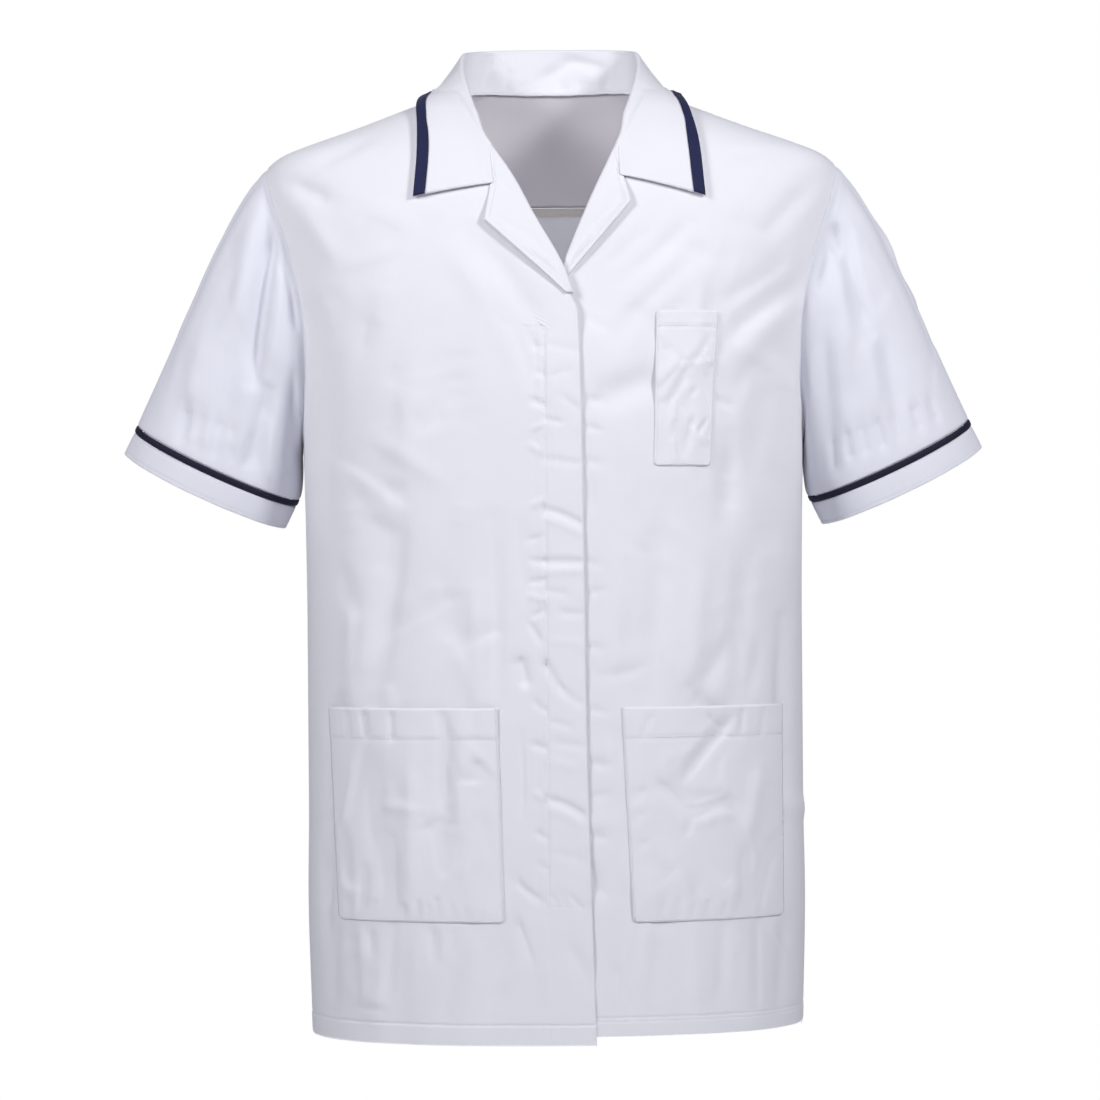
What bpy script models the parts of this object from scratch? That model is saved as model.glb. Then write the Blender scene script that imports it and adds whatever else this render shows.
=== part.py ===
"""White short-sleeve medical tunic, filled out with no wearer inside.

Metres, +Z up. The origin is the middle of the neck base, level with the points
where the shoulder ridges meet the neck. -Y is the front and -X is the wearer's
right. Every piece of cloth is a thin wall: its outer points come from a surface
function, and its inner points lie one thickness further in.
"""
import math

import bmesh
import bpy
import numpy as np
from mathutils import Vector
from mathutils.bvhtree import BVHTree

# ---------------------------------------------------------------- driving sizes
CLOTH = 0.0014            # wall of a single panel
COLLAR_CLOTH = 0.0018     # wall of the interlined collar
FACING_CLOTH = 0.0012     # wall of the turned-back facings and inner strips
POCKET_CLOTH = 0.0010     # wall of what is sewn onto a panel
SEAM_GAP = 0.0003         # clear gap between two pieces at a seam
SECTION_POWER = 2.4       # superellipse power of the body sections

TIP_Z = -0.0604           # shoulder tip, where the sleeve seam crosses the ridge
UNDERARM_Z = -0.2900
YOKE_Z = -0.0864
HEM_OVER_Z = -0.7716      # hem of the front that lies on top
HEM_UNDER_Z = -0.7647
HEM_BACK_Z = -0.7700
NECK_RISE = 0.0056        # back of the neckline above the neck points
NECK_FADE = 0.0450         # drop over which that rise dies out
NECK_HALF_WIDTH = 0.0790

ARMHOLE_DEPTH_FRONT = 0.052
ARMHOLE_DEPTH_BACK = 0.047
ARMHOLE_STEPS = 12        # rows between shoulder tip and underarm
LOWER_ROWS = 13           # rows from the underarm to the hem
FRONT_COLUMNS = 13
BACK_COLUMNS = 21
YOKE_NECK_ROWS = (0.0, -0.0060, -0.0130, -0.0220, -0.0330, -0.0450)
ROW_MARGIN = 0.004        # grid rows keep this far from the yoke seam

ROLL_RADIUS = 0.0026      # fold of a lapel round the edge of its front
SEAM_CALM = 0.030         # folds die out this close to the side seams

# Half width of the body by height. Above the tip this is the shoulder ridge.
# Columns: z, half_width
WIDTH = (
    (0.0000, NECK_HALF_WIDTH), (-0.0151, 0.1196), (-0.0316, 0.1633), (-0.0440, 0.1992),
    (-0.0530, 0.2215), (-0.0604, 0.2312), (-0.0700, 0.2365), (-0.0850, 0.2380),
    (-0.0980, 0.2365), (-0.1210, 0.2310), (-0.1650, 0.2195), (-0.2000, 0.2125),
    (-0.2400, 0.2080), (-0.2900, 0.2055), (-0.3600, 0.2040), (-0.4360, 0.2033),
    (-0.5840, 0.2033), (-0.6580, 0.2042), (-0.7490, 0.2021), (-0.7720, 0.2013),
)
# Depth of the body in front of and behind the side seams.
# Columns: z, front, back
DEPTH = (
    (0.0060, 0.0420, 0.0730), (0.0000, 0.0450, 0.0745), (-0.0200, 0.0600, 0.0860),
    (-0.0600, 0.0840, 0.1000), (-0.1200, 0.1080, 0.1150), (-0.1800, 0.1200, 0.1205),
    (-0.2600, 0.1280, 0.1220), (-0.4000, 0.1290, 0.1140), (-0.6000, 0.1280, 0.1150),
    (-0.7720, 0.1260, 0.1180),
)
# Inner edge of each front: neckline, then roll line, then closing edge.
# x is counted from the centre towards that front's own side.
# Columns: z, x
OVER_EDGE = (
    (-0.0010, 0.0788), (-0.0120, 0.0745), (-0.0280, 0.0655), (-0.0526, 0.0505),
    (-0.0774, 0.0332), (-0.1100, 0.0163), (-0.1498, -0.0056), (-0.1766, -0.0157),
    (-0.1880, -0.0205), (-0.3390, -0.0233), (-0.4970, -0.0244), (-0.7716, -0.0310),
)
UNDER_EDGE = (
    (-0.0010, 0.0788), (-0.0120, 0.0760), (-0.0280, 0.0685), (-0.0526, 0.0550),
    (-0.0849, 0.0386), (-0.1146, 0.0254), (-0.1498, 0.0108), (-0.1700, 0.0010),
    (-0.1900, -0.0060), (-0.2300, -0.0085), (-0.7716, -0.0085),
)
UNDER_DIP = 0.0034        # the under front lies this far inside the over front
UNDER_DIP_ZONE = (0.060, 0.130)       # drops below the neck where that sets in
UNDER_DIP_REACH = (0.030, 0.080)      # and widths from the centre where it ends
CROSSING_DIP = 0.0024     # and this much further where the two lapels cross
CROSSING_Z = -0.1600
CROSSING_SPREAD = 0.035
OVER_RAISE = 0.0008
OVER_RAISE_ZONE = (0.110, 0.160)
OVER_RAISE_START = -0.050

# Hidden strip of the concealed fly, behind the closing edge of the top front.
FLY_TOP_Z = -0.1990
FLY_BOTTOM_Z = -0.6600
FLY_INNER_X = -0.0065
FLY_EDGE_INSET = 0.0010

# Large soft folds: a ridge (height above 0) or trough along a line.
# Columns: x0, z0, x1, z1, width, height
FRONT_FOLDS = (
    (-0.133, -0.345, -0.140, -0.470, 0.020, -0.0030),
    (-0.085, -0.405, -0.092, -0.500, 0.016, -0.0020),
    (-0.165, -0.330, -0.170, -0.480, 0.018, 0.0015),
    (-0.090, -0.525, -0.094, -0.640, 0.014, -0.0024),
    (-0.160, -0.535, -0.130, -0.670, 0.014, -0.0020),
    (0.195, -0.180, 0.125, -0.215, 0.016, 0.0022),
    (0.198, -0.215, 0.110, -0.262, 0.015, -0.0022),
    (0.140, -0.505, 0.100, -0.565, 0.016, -0.0024),
    (0.085, -0.568, 0.145, -0.585, 0.012, -0.0020),
    (-0.120, -0.690, -0.128, -0.790, 0.014, -0.0026),
    (-0.070, -0.690, -0.078, -0.790, 0.013, 0.0020),
    (0.090, -0.690, 0.098, -0.790, 0.016, -0.0020),
    (0.158, -0.690, 0.166, -0.790, 0.014, 0.0018),
)
BACK_FOLDS = (
    (-0.110, -0.150, -0.125, -0.520, 0.022, 0.0026),
    (0.115, -0.170, 0.120, -0.560, 0.024, 0.0024),
    (-0.045, -0.300, -0.052, -0.790, 0.022, -0.0026),
    (0.052, -0.360, 0.062, -0.790, 0.024, -0.0024),
    (0.000, -0.480, 0.006, -0.790, 0.020, 0.0018),
    (-0.150, -0.600, -0.156, -0.790, 0.018, -0.0022),
    (0.150, -0.620, 0.160, -0.790, 0.018, -0.0020),
)

# Patch pockets. Columns: name, top_in, top_out, bottom_in, bottom_out, top_z, bottom_z
POCKETS = (
    ("pen_pocket", 0.0826, 0.1322, 0.0795, 0.1252, -0.1880, -0.3120),
    ("pocket_right", -0.0457, -0.1824, -0.0412, -0.1753, -0.5030, -0.6735),
    ("pocket_left", 0.0521, 0.1827, 0.0604, 0.1831, -0.5030, -0.6740),
)
POCKET_CORNER = 0.012
POCKET_CORNER_START = 0.93
POCKET_ROWS = (0.0, 0.167, 0.333, 0.5, 0.667, 0.833, 0.965, 0.99, 1.0)
POCKET_COLUMNS = 9
POCKET_MOUTH = 0.0012     # how far a pocket's mouth stands off the panel

# Collar sections from centre back to the lapel seam: six round the back of the neck,
# then one at each of the fronts' neckline rows.
# Columns: roll_x, roll_y, roll_z, edge_x, edge_y, edge_z
COLLAR_STATIONS = (
    (0.0000, 0.0780, 0.0445, 0.0000, 0.0920, -0.0140),
    (0.0315, 0.0770, 0.0443, 0.0370, 0.0910, -0.0135),
    (0.0540, 0.0710, 0.0430, 0.0690, 0.0800, -0.0115),
    (0.0670, 0.0540, 0.0400, 0.0900, 0.0570, -0.0090),
    (0.0710, 0.0310, 0.0350, 0.1010, 0.0290, -0.0070),
    (0.0713, 0.0050, 0.0225, 0.1045, 0.0000, -0.0065),
    (0.0690, -0.0170, 0.0095, 0.1075, -0.0270, -0.0150),
    (0.0666, -0.0290, 0.0005, 0.1090, -0.0420, -0.0260),
    (0.0642, -0.0390, -0.0080, 0.1105, -0.0540, -0.0370),
    (0.0612, -0.0490, -0.0170, 0.1120, -0.0640, -0.0490),
    (0.0575, -0.0590, -0.0265, 0.1135, -0.0740, -0.0620),
    (0.0533, -0.0690, -0.0385, 0.1150, -0.0830, -0.0770),
    (0.0495, -0.0780, -0.0515, 0.1170, -0.0930, -0.0954),
)
BACK_STATIONS = 5                     # index of the station at the neck point
FRONT_BLEND = (2.5, 4.0)              # stations over which the roll and the leaf meet the front
POINT_BLEND = (0.020, 0.080)          # depths over which the edge goes to the collar's point
ROLL_PAST_EDGE = 0.0012               # clear way between the panel's edge and the roll's middle
ROLL_SINK = 0.0004
FOOT_STEP = 0.0012                    # extra way inwards of the stand's foot at the front
NOTCH_Y = -0.0930
STAND_SHARE = 0.35                    # end of the stand, over the collar's width
FOLD_SHARE = 0.45                     # end of the fold
LEAF_CLEAR = 0.0005                   # the leaf clears the plain body by this and its cloth
LEAF_LIFT = 0.0020                    # and by this more towards its outer edge
LEAF_SETTLE = 0.0060                  # the lift dies out over this way past the panel's edge
COLLAR_ROWS = (0.0, 0.18, STAND_SHARE, 0.375, 0.40, 0.425, FOLD_SHARE, 0.52, 0.60, 0.70, 0.80,
               0.90, 1.0)
FACING_SHARE = 0.8                    # a neighbour counts as beneath within this cosine
NOTCH_SHARE = 0.36                    # part of the collar's front end sewn to the lapel
COLLAR_SEAM_END = -0.0540             # height where collar and lapel meet at the neck edge
# Heights of the fronts' grid rows along the neckline.
NECK_ROWS = np.array([-0.0030, -0.0080, -0.0140, -0.0210, -0.0300, -0.0410, COLLAR_SEAM_END])
# Where collar and lapel part, the lapel's corner and the collar's point, for each side.
# Columns: side, notch_x, notch_z, corner_x, corner_z, point_x, point_z
FRONT_POINTS = (
    (-1, 0.0463, -0.0851, 0.0536, -0.1149, 0.1104, -0.0959),
    (1, 0.0551, -0.0779, 0.0628, -0.1008, 0.1234, -0.0949),
)
LAPEL_ROWS = 13
LAPEL_START = 0.0040                  # the lapel starts this far below the collar's end
LAPEL_TURNS = (-90.0, -55.0, -20.0, 15.0, 50.0, 90.0)
LAPEL_SHARES = (0.25, 0.5, 0.75, 1.0)
LAPEL_LIFT = 0.0012                   # a lapel's rim stands off its front by this
RIM_TOP = (-0.0017, -0.0005)          # rim's top from the collar's last section, x and z
RIM_NOTCH = (-0.0010, -0.0010)        # rim's notch from the collar's
RIM_CLOSE = (0.0030, 0.0005)          # rim's end from the roll's end
RIM_PLACES = (0.0, 0.33, 0.67, 1.0, 1.5)
TAPE_WIDTH = 0.0100

# Sleeve end, at the piping. The arm hangs 25.4 degrees out and a little back.
SLEEVE_END = (0.2765, 0.0060, -0.3031)
SLEEVE_AXIS = (0.4290, 0.1300, -0.9030)
SLEEVE_HALF_WIDTH = 0.0736
SLEEVE_HALF_DEPTH = 0.0520
PIPING_WIDTH = 0.0060
CUFF_END = 0.0260         # cuff edge below the start of the piping
PIPING_RAISE = 0.0006
# Turn of the sleeve's first direction from the panel's surface, by angle down the armhole.
# Columns: angle, turn (degrees)
SLEEVE_TURN = ((0.0, 0.0), (45.0, 48.0), (90.0, 70.0), (135.0, 110.0), (180.0, 172.0))
SLEEVE_SEAM_GAP = 0.0006
SLEEVE_REACH = (0.55, 0.80)           # pull of the first and last directions, over the length
SLEEVE_ROWS = (0.0, 0.06, 0.14, 0.24, 0.35, 0.46, 0.58, 0.70, 0.80, 0.90, 1.0)

WHITE = (0.86, 0.86, 0.90, 1.0)
SLEEVE_WHITE = (0.80, 0.81, 0.87, 1.0)
NAVY = (0.015, 0.020, 0.070, 1.0)
BEIGE = (0.62, 0.55, 0.40, 1.0)


# ---------------------------------------------------------------- curves
def column(table, index):
    """Return one column of a table as an array."""
    return np.array([row[index] for row in table], dtype=float)


def smooth_lookup(table, at, index=1):
    """Read a table's column at given first-column values, with a monotone cubic."""
    knots, values = column(table, 0), column(table, index)
    if knots[0] > knots[-1]:
        knots, values = knots[::-1], values[::-1]
    steps = np.diff(knots)
    slopes = np.diff(values) / steps
    tangents = np.empty_like(values)
    tangents[0], tangents[-1] = slopes[0], slopes[-1]
    same_way = slopes[:-1] * slopes[1:] > 0.0
    total = np.where(same_way, slopes[:-1] + slopes[1:], 1.0)
    tangents[1:-1] = np.where(same_way, 2.0 * slopes[:-1] * slopes[1:] / total, 0.0)
    at = np.clip(np.asarray(at, dtype=float), knots[0], knots[-1])
    low = np.clip(np.searchsorted(knots, at) - 1, 0, len(steps) - 1)
    span = steps[low]
    t = (at - knots[low]) / span
    return (values[low] * (1 + 2 * t) * (1 - t) ** 2 + values[low + 1] * t * t * (3 - 2 * t)
            + span * (tangents[low] * t * (1 - t) ** 2 + tangents[low + 1] * t * t * (t - 1)))


def smooth_step(low, high, at):
    """Rise from 0 to 1 between two values with level ends."""
    t = np.clip((at - low) / (high - low), 0.0, 1.0)
    return t * t * (3.0 - 2.0 * t)


def through_points(points, at):
    """Read a smooth curve through points at a fraction of its length in spans."""
    points = np.asarray(points, dtype=float)
    spans = len(points) - 1
    padded = np.vstack([2 * points[0] - points[1], points, 2 * points[-1] - points[-2]])
    place = np.clip(np.asarray(at, dtype=float), 0.0, 1.0) * spans
    low = np.minimum(place.astype(int), spans - 1)
    t = (place - low)[..., None]
    a, b, c, d = (padded[low + k] for k in range(4))
    return 0.5 * (2 * b + (c - a) * t + (2 * a - 5 * b + 4 * c - d) * t * t
                  + (3 * b - a - 3 * c + d) * t ** 3)


def unit(vectors):
    """Return vectors scaled to length one."""
    return vectors / np.linalg.norm(vectors, axis=-1, keepdims=True)


# ---------------------------------------------------------------- body surface
def signed_power(value, power):
    """Raise the size of a value to a power and keep its sign."""
    return np.sign(value) * np.abs(value) ** power


def section_point(theta, z):
    """Return body points: theta runs from the left side (0) back (90) to the right (180)."""
    width = smooth_lookup(WIDTH, z)
    sine, cosine = np.sin(theta), np.cos(theta)
    depth = np.where(sine < 0.0, smooth_lookup(DEPTH, z, 1), smooth_lookup(DEPTH, z, 2))
    x = width * signed_power(cosine, 2.0 / SECTION_POWER)
    y = depth * signed_power(sine, 2.0 / SECTION_POWER)
    rise = NECK_RISE * smooth_step(0.0, 1.0, sine) * (1.0 - smooth_step(0.0, NECK_FADE, -z))
    return np.stack(np.broadcast_arrays(x, y, z + rise), axis=-1)


def theta_at(x, z, face):
    """Return the section angle of a given x on the front (-1) or the back (+1)."""
    width = smooth_lookup(WIDTH, z)
    cosine = np.clip(signed_power(x / width, SECTION_POWER / 2.0), -1.0, 1.0)
    return face * np.arccos(cosine)


def surface_normal(surface, first, second, step=2e-4):
    """Return unit normals of a surface function by central differences."""
    across = surface(first + step, second) - surface(first - step, second)
    along = surface(first, second + step) - surface(first, second - step)
    return unit(np.cross(across, along))


def fold_relief(x, z, folds):
    """Sum the soft ridges and troughs of a fold table."""
    total = np.zeros(np.broadcast(x, z).shape)
    for x0, z0, x1, z1, width, height in folds:
        run, rise = x1 - x0, z1 - z0
        along = np.clip(((x - x0) * run + (z - z0) * rise) / (run * run + rise * rise), 0.0, 1.0)
        away = (x - x0 - along * run) ** 2 + (z - z0 - along * rise) ** 2
        total += height * np.exp(-away / width ** 2)
    return total


def layer_offset(points, layer):
    """Return how far a layer stands out from the plain body surface."""
    x, y, z = points[..., 0], points[..., 1], points[..., 2]
    inset = smooth_step(0.0, SEAM_CALM, np.abs(y))
    if layer == "back":
        return inset * fold_relief(x, z, BACK_FOLDS)
    offset = inset * fold_relief(x, z, FRONT_FOLDS)
    if layer == "over":
        below_neck = smooth_step(*OVER_RAISE_ZONE, -z)
        return offset + OVER_RAISE * below_neck * smooth_step(OVER_RAISE_START, 0.0, x)
    crossing = CROSSING_DIP * np.exp(-((z - CROSSING_Z) / CROSSING_SPREAD) ** 2)
    hidden = 1.0 - smooth_step(*UNDER_DIP_REACH, x)
    return offset - (UNDER_DIP * smooth_step(*UNDER_DIP_ZONE, -z) + crossing) * hidden


def panel_surface(layer):
    """Return the outer surface function of a body layer, over theta and z."""
    def surface(theta, z):
        base = section_point(theta, z)
        normal = surface_normal(section_point, theta, z)
        return base + normal * layer_offset(base, layer)[..., None]
    return surface


# ---------------------------------------------------------------- armhole
def armhole_z(angle):
    """Return the height at an angle down the armhole, 0 at the tip."""
    middle, reach = 0.5 * (TIP_Z + UNDERARM_Z), 0.5 * (TIP_Z - UNDERARM_Z)
    return middle + reach * np.cos(angle)


def armhole_theta(z, face):
    """Return the section angle of the armhole edge on the wearer's left."""
    middle, reach = 0.5 * (TIP_Z + UNDERARM_Z), 0.5 * (TIP_Z - UNDERARM_Z)
    inside = np.sqrt(np.clip(1.0 - ((z - middle) / reach) ** 2, 0.0, 1.0))
    depth = ARMHOLE_DEPTH_FRONT if face < 0 else ARMHOLE_DEPTH_BACK
    body_depth = smooth_lookup(DEPTH, z, 1 if face < 0 else 2)
    return face * np.arcsin((depth * inside / body_depth) ** (SECTION_POWER / 2.0))


def armhole_rows():
    """Return the heights of the grid rows between shoulder tip and underarm."""
    return armhole_z(np.linspace(0.0, math.pi, ARMHOLE_STEPS + 1))


# ---------------------------------------------------------------- making solids
def add_material(item, colour, roughness=0.85):
    """Give an object its own plain material."""
    material = bpy.data.materials.new(item.name + "_cloth")
    material.use_nodes = True
    shader = material.node_tree.nodes["Principled BSDF"]
    shader.inputs["Base Color"].default_value = colour
    shader.inputs["Roughness"].default_value = roughness
    shader.inputs["Metallic"].default_value = 0.0
    item.data.materials.append(material)


def cloth_wall(name, outer, normals, thickness, colour, tube=False):
    """Make a closed wall from a grid of outer points and their outward normals.

    A tube joins its last column to its first one.
    """
    rows, columns = outer.shape[:2]
    inner = outer - normals * thickness
    bm = bmesh.new()
    shells = [[[bm.verts.new(point) for point in row] for row in grid] for grid in (outer, inner)]
    spans = columns if tube else columns - 1
    for row in range(rows - 1):
        for span in range(spans):
            after = (span + 1) % columns
            for shell in shells:
                bm.faces.new((shell[row][span], shell[row][after], shell[row + 1][after]))
                bm.faces.new((shell[row][span], shell[row + 1][after], shell[row + 1][span]))
    for row in (0, rows - 1):
        for span in range(spans):
            after = (span + 1) % columns
            bm.faces.new((shells[0][row][span], shells[1][row][span],
                          shells[1][row][after], shells[0][row][after]))
    if not tube:
        for row in range(rows - 1):
            for edge in (0, columns - 1):
                bm.faces.new((shells[0][row][edge], shells[0][row + 1][edge],
                              shells[1][row + 1][edge], shells[1][row][edge]))
    bmesh.ops.recalc_face_normals(bm, faces=bm.faces[:])
    mesh = bpy.data.meshes.new(name)
    bm.to_mesh(mesh)
    bm.free()
    mesh.shade_smooth()
    item = bpy.data.objects.new(name, mesh)
    bpy.context.scene.collection.objects.link(item)
    add_material(item, colour)


def facet_tree(grid):
    """Return a search tree over the triangles of a grid of points."""
    rows, columns = grid.shape[:2]
    index = np.arange(rows * columns).reshape(rows, columns)
    a, b = index[:-1, :-1].ravel(), index[:-1, 1:].ravel()
    c, d = index[1:, 1:].ravel(), index[1:, :-1].ravel()
    faces = np.vstack([np.stack([a, b, c], axis=1), np.stack([a, c, d], axis=1)])
    return BVHTree.FromPolygons(grid.reshape(-1, 3).tolist(), faces.tolist())


def push_clear(face, way, neighbours, gap, free):
    """Move a grid along its own directions until its facets clear the neighbours' facets.

    free marks the points that may move. Each facet is tested at a spread of points.
    """
    trees = [facet_tree(grid) for grid in neighbours]
    rows, columns = face.shape[:2]
    index = np.arange(rows * columns).reshape(rows, columns)
    a, b, c, d = index[:-1, :-1], index[:-1, 1:], index[1:, 1:], index[1:, :-1]
    facets = np.concatenate([np.stack([a, b, c], axis=-1), np.stack([a, c, d], axis=-1)])
    facets = facets.reshape(-1, 3)
    movable = free.ravel()
    facets = facets[movable[facets].any(axis=1)]
    shares = [(i / 4.0, j / 4.0, 1.0 - (i + j) / 4.0) for i in range(5) for j in range(5 - i)]
    face, way = face.reshape(-1, 3).copy(), way.reshape(-1, 3)
    for _ in range(12):
        rise = np.zeros(len(face))
        for share in shares:
            points = np.einsum("k,fkd->fd", share, face[facets])
            ways = unit(np.einsum("k,fkd->fd", share, way[facets]))
            for point, direction, corners in zip(points, ways, facets):
                for tree in trees:
                    spot, _, _, distance = tree.find_nearest(Vector(point), 0.012)
                    if spot is None:
                        continue
                    above = np.dot(point - np.array(spot), direction)
                    if distance < gap or abs(above) > FACING_SHARE * distance:
                        rise[corners] = np.maximum(rise[corners], gap - above)
        rise *= movable
        if rise.max() < 2e-5:
            break
        face += way * rise[:, None]
    return face.reshape(rows, columns, 3)


def lay_on(points, normals, thickness, neighbours, free=None, ways=None):
    """Raise a wall's outer points until its underside clears what lies beneath it."""
    if free is None:
        free = np.ones(points.shape[:2], dtype=bool)
    if ways is None:
        ways = normals
    under = points - normals * thickness
    return push_clear(under, ways, neighbours, SEAM_GAP, free) + normals * thickness


def theta_grid(starts, ends, columns):
    """Return angles in even steps between a start and an end for each row."""
    steps = np.linspace(0.0, 1.0, columns)
    return starts[:, None] + (ends - starts)[:, None] * steps[None, :]


def body_wall(name, layer, theta, heights, depth=0.0, thickness=CLOTH, colour=WHITE):
    """Make a body panel over a grid of angles, its outer face a depth inside the layer."""
    z = np.repeat(heights[:, None], theta.shape[1], axis=1)
    surface = panel_surface(layer)
    normals = surface_normal(surface, theta, z)
    outer = surface(theta, z) - normals * depth
    cloth_wall(name, outer, normals, thickness, colour)
    return outer, normals


# ---------------------------------------------------------------- fronts and back
def side_gap(z):
    """Return the angle that keeps half a seam gap from the side seam's plane."""
    depth = smooth_lookup(DEPTH, z, 1)
    return np.arcsin((0.5 * SEAM_GAP / depth) ** (SECTION_POWER / 2.0))


def outer_theta(z, face):
    """Return where a left-hand panel ends: shoulder seam, armhole or side seam."""
    return armhole_theta(z, face) + face * side_gap(z)


def front_rows(hem):
    """Return the row heights of a front."""
    below = np.linspace(UNDERARM_Z, hem, LOWER_ROWS)[1:]
    return np.concatenate([NECK_ROWS, armhole_rows(), below])


def build_fronts():
    """Make both fronts, the wearer's right on top, and return their outer grids."""
    rows = front_rows(HEM_OVER_Z)
    inner = theta_at(-smooth_lookup(OVER_EDGE, rows), rows, -1)
    outer = -math.pi - outer_theta(rows, -1)
    over = body_wall("front_right", "over", theta_grid(outer, inner, FRONT_COLUMNS), rows)
    rows = front_rows(HEM_UNDER_Z)
    inner = theta_at(smooth_lookup(UNDER_EDGE, rows), rows, -1)
    outer = outer_theta(rows, -1)
    under = body_wall("front_left", "under", theta_grid(inner, outer, FRONT_COLUMNS), rows)
    return over, under


def build_back():
    """Make the back, its yoke and the seam allowance that shows inside the neck."""
    arm = armhole_rows()
    yoke_rows = np.concatenate([YOKE_NECK_ROWS, arm[arm > YOKE_Z + ROW_MARGIN],
                                [YOKE_Z + 0.5 * SEAM_GAP]])
    back_rows = np.concatenate([[YOKE_Z - 0.5 * SEAM_GAP], arm[arm < YOKE_Z - ROW_MARGIN],
                                np.linspace(UNDERARM_Z, HEM_BACK_Z, LOWER_ROWS)[1:]])
    starts = outer_theta(back_rows, 1)
    body_wall("back", "back", theta_grid(starts, math.pi - starts, BACK_COLUMNS), back_rows)
    theta = theta_grid(starts, math.pi - starts, BACK_COLUMNS)[:2, 1:-1]
    body_wall("yoke_seam_strip", "back", theta, back_rows[:2], depth=CLOTH + SEAM_GAP,
              thickness=POCKET_CLOTH, colour=BEIGE)
    starts = outer_theta(yoke_rows, 1)
    theta = theta_grid(starts, math.pi - starts, BACK_COLUMNS)
    return body_wall("back_yoke", "back", theta, yoke_rows)[0]


def build_fly_strip(over):
    """Make the hidden inner strip behind the closing edge of the top front."""
    outer, normals = over
    inside = outer - normals * CLOTH
    rows, columns = np.linspace(FLY_TOP_Z, FLY_BOTTOM_Z, 12), 4
    start = theta_at(np.full_like(rows, FLY_INNER_X), rows, -1)
    edge = theta_at(-smooth_lookup(OVER_EDGE, rows) - FLY_EDGE_INSET, rows, -1)
    theta = theta_grid(start, edge, columns)
    z = np.repeat(rows[:, None], columns, axis=1)
    surface = panel_surface("over")
    normals = surface_normal(surface, theta, z)
    face = surface(theta, z) - normals * (CLOTH + SEAM_GAP)
    free = np.ones(face.shape[:2], dtype=bool)
    face = push_clear(face, -normals, [inside], SEAM_GAP, free)
    cloth_wall("fly_strip", face, normals, FACING_CLOTH, WHITE)


# ---------------------------------------------------------------- sleeves
def armhole_position(angle):
    """Return the section angle and height of the armhole edge: front below pi, back above."""
    z = armhole_z(angle)
    theta = np.where(np.sin(angle) >= 0.0, armhole_theta(z, -1), armhole_theta(z, 1))
    return theta, z


def armhole_frame(angle):
    """Return armhole points with the panel's normal and its direction into the hole."""
    theta, z = armhole_position(angle)
    point, normal = section_point(theta, z), surface_normal(section_point, theta, z)
    middle = 0.5 * (TIP_Z + UNDERARM_Z)
    inward = np.stack([np.zeros_like(z), -point[..., 1], middle - z], axis=-1)
    step = 1e-3
    run = unit(section_point(*armhole_position(angle + step))
               - section_point(*armhole_position(angle - step)))
    inward -= normal * np.sum(inward * normal, axis=-1, keepdims=True)
    inward -= run * np.sum(inward * run, axis=-1, keepdims=True)
    return point, normal, unit(inward)


def sleeve_ring(angle, down):
    """Return points of the sleeve's end ring, moved down along the arm."""
    axis = unit(np.array(SLEEVE_AXIS))
    out = unit(np.array([-axis[2], 0.0, axis[0]]))
    front = np.cross(axis, out)
    ring = (SLEEVE_HALF_WIDTH * np.cos(angle)[..., None] * out
            + SLEEVE_HALF_DEPTH * np.sin(angle)[..., None] * front)
    return np.array(SLEEVE_END) + ring + axis * np.asarray(down)[..., None]


def sleeve_surface(angle, t):
    """Return sleeve points between the armhole (t 0) and the piping (t 1)."""
    angle = np.mod(angle + math.pi, 2.0 * math.pi) - math.pi
    point, normal, inward = armhole_frame(angle)
    turn = np.radians(smooth_lookup(SLEEVE_TURN, np.degrees(np.abs(angle))))[..., None]
    start_way = np.cos(turn) * inward + np.sin(turn) * normal
    half_way = unit(np.cos(0.5 * turn) * inward + np.sin(0.5 * turn) * normal)
    start = point + half_way * SLEEVE_SEAM_GAP
    end = sleeve_ring(angle, np.zeros_like(angle))
    reach = np.linalg.norm(end - start, axis=-1, keepdims=True)
    axis = unit(np.array(SLEEVE_AXIS))
    t = np.asarray(t)[..., None]
    first, last = SLEEVE_REACH
    return ((1 + 2 * t) * (1 - t) ** 2 * start + t * (1 - t) ** 2 * first * reach * start_way
            + t * t * (3 - 2 * t) * end + t * t * (t - 1) * last * reach * axis)


def outward_from_axis(points, normals):
    """Turn normals so that they point away from the middle of each row."""
    middle = points.mean(axis=1, keepdims=True)
    facing = np.sum(normals * (points - middle), axis=-1, keepdims=True)
    return np.where(facing < 0.0, -normals, normals)


def mirrored(points, side):
    """Mirror points to the other side for side -1."""
    return points * np.array([side, 1.0, 1.0])


def build_sleeves():
    """Make each sleeve with its piping and its turned band."""
    angles = np.linspace(0.0, 2.0 * math.pi, 2 * ARMHOLE_STEPS + 1)[:-1]
    angle, t = np.meshgrid(angles, SLEEVE_ROWS)
    sleeve = sleeve_surface(angle, t)
    normals = outward_from_axis(sleeve, grid_normals(sleeve, tube=True))
    bands = (("piping", SEAM_GAP, PIPING_WIDTH, PIPING_RAISE, CLOTH + PIPING_RAISE, 2, NAVY),
             ("cuff", PIPING_WIDTH + SEAM_GAP, CUFF_END, 0.0, CLOTH, 3, WHITE))
    for side, word in ((-1.0, "right"), (1.0, "left")):
        cloth_wall("sleeve_" + word, mirrored(sleeve, side), mirrored(normals, side), CLOTH,
                   SLEEVE_WHITE, tube=True)
        for name, start, end, lift, thickness, rows, colour in bands:
            angle, down = np.meshgrid(angles, np.linspace(start, end, rows))
            band = sleeve_ring(angle, down)
            out = outward_from_axis(band, grid_normals(band, tube=True))
            cloth_wall(f"{name}_{word}", mirrored(band + out * lift, side), mirrored(out, side),
                       thickness, colour, tube=True)


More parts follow.
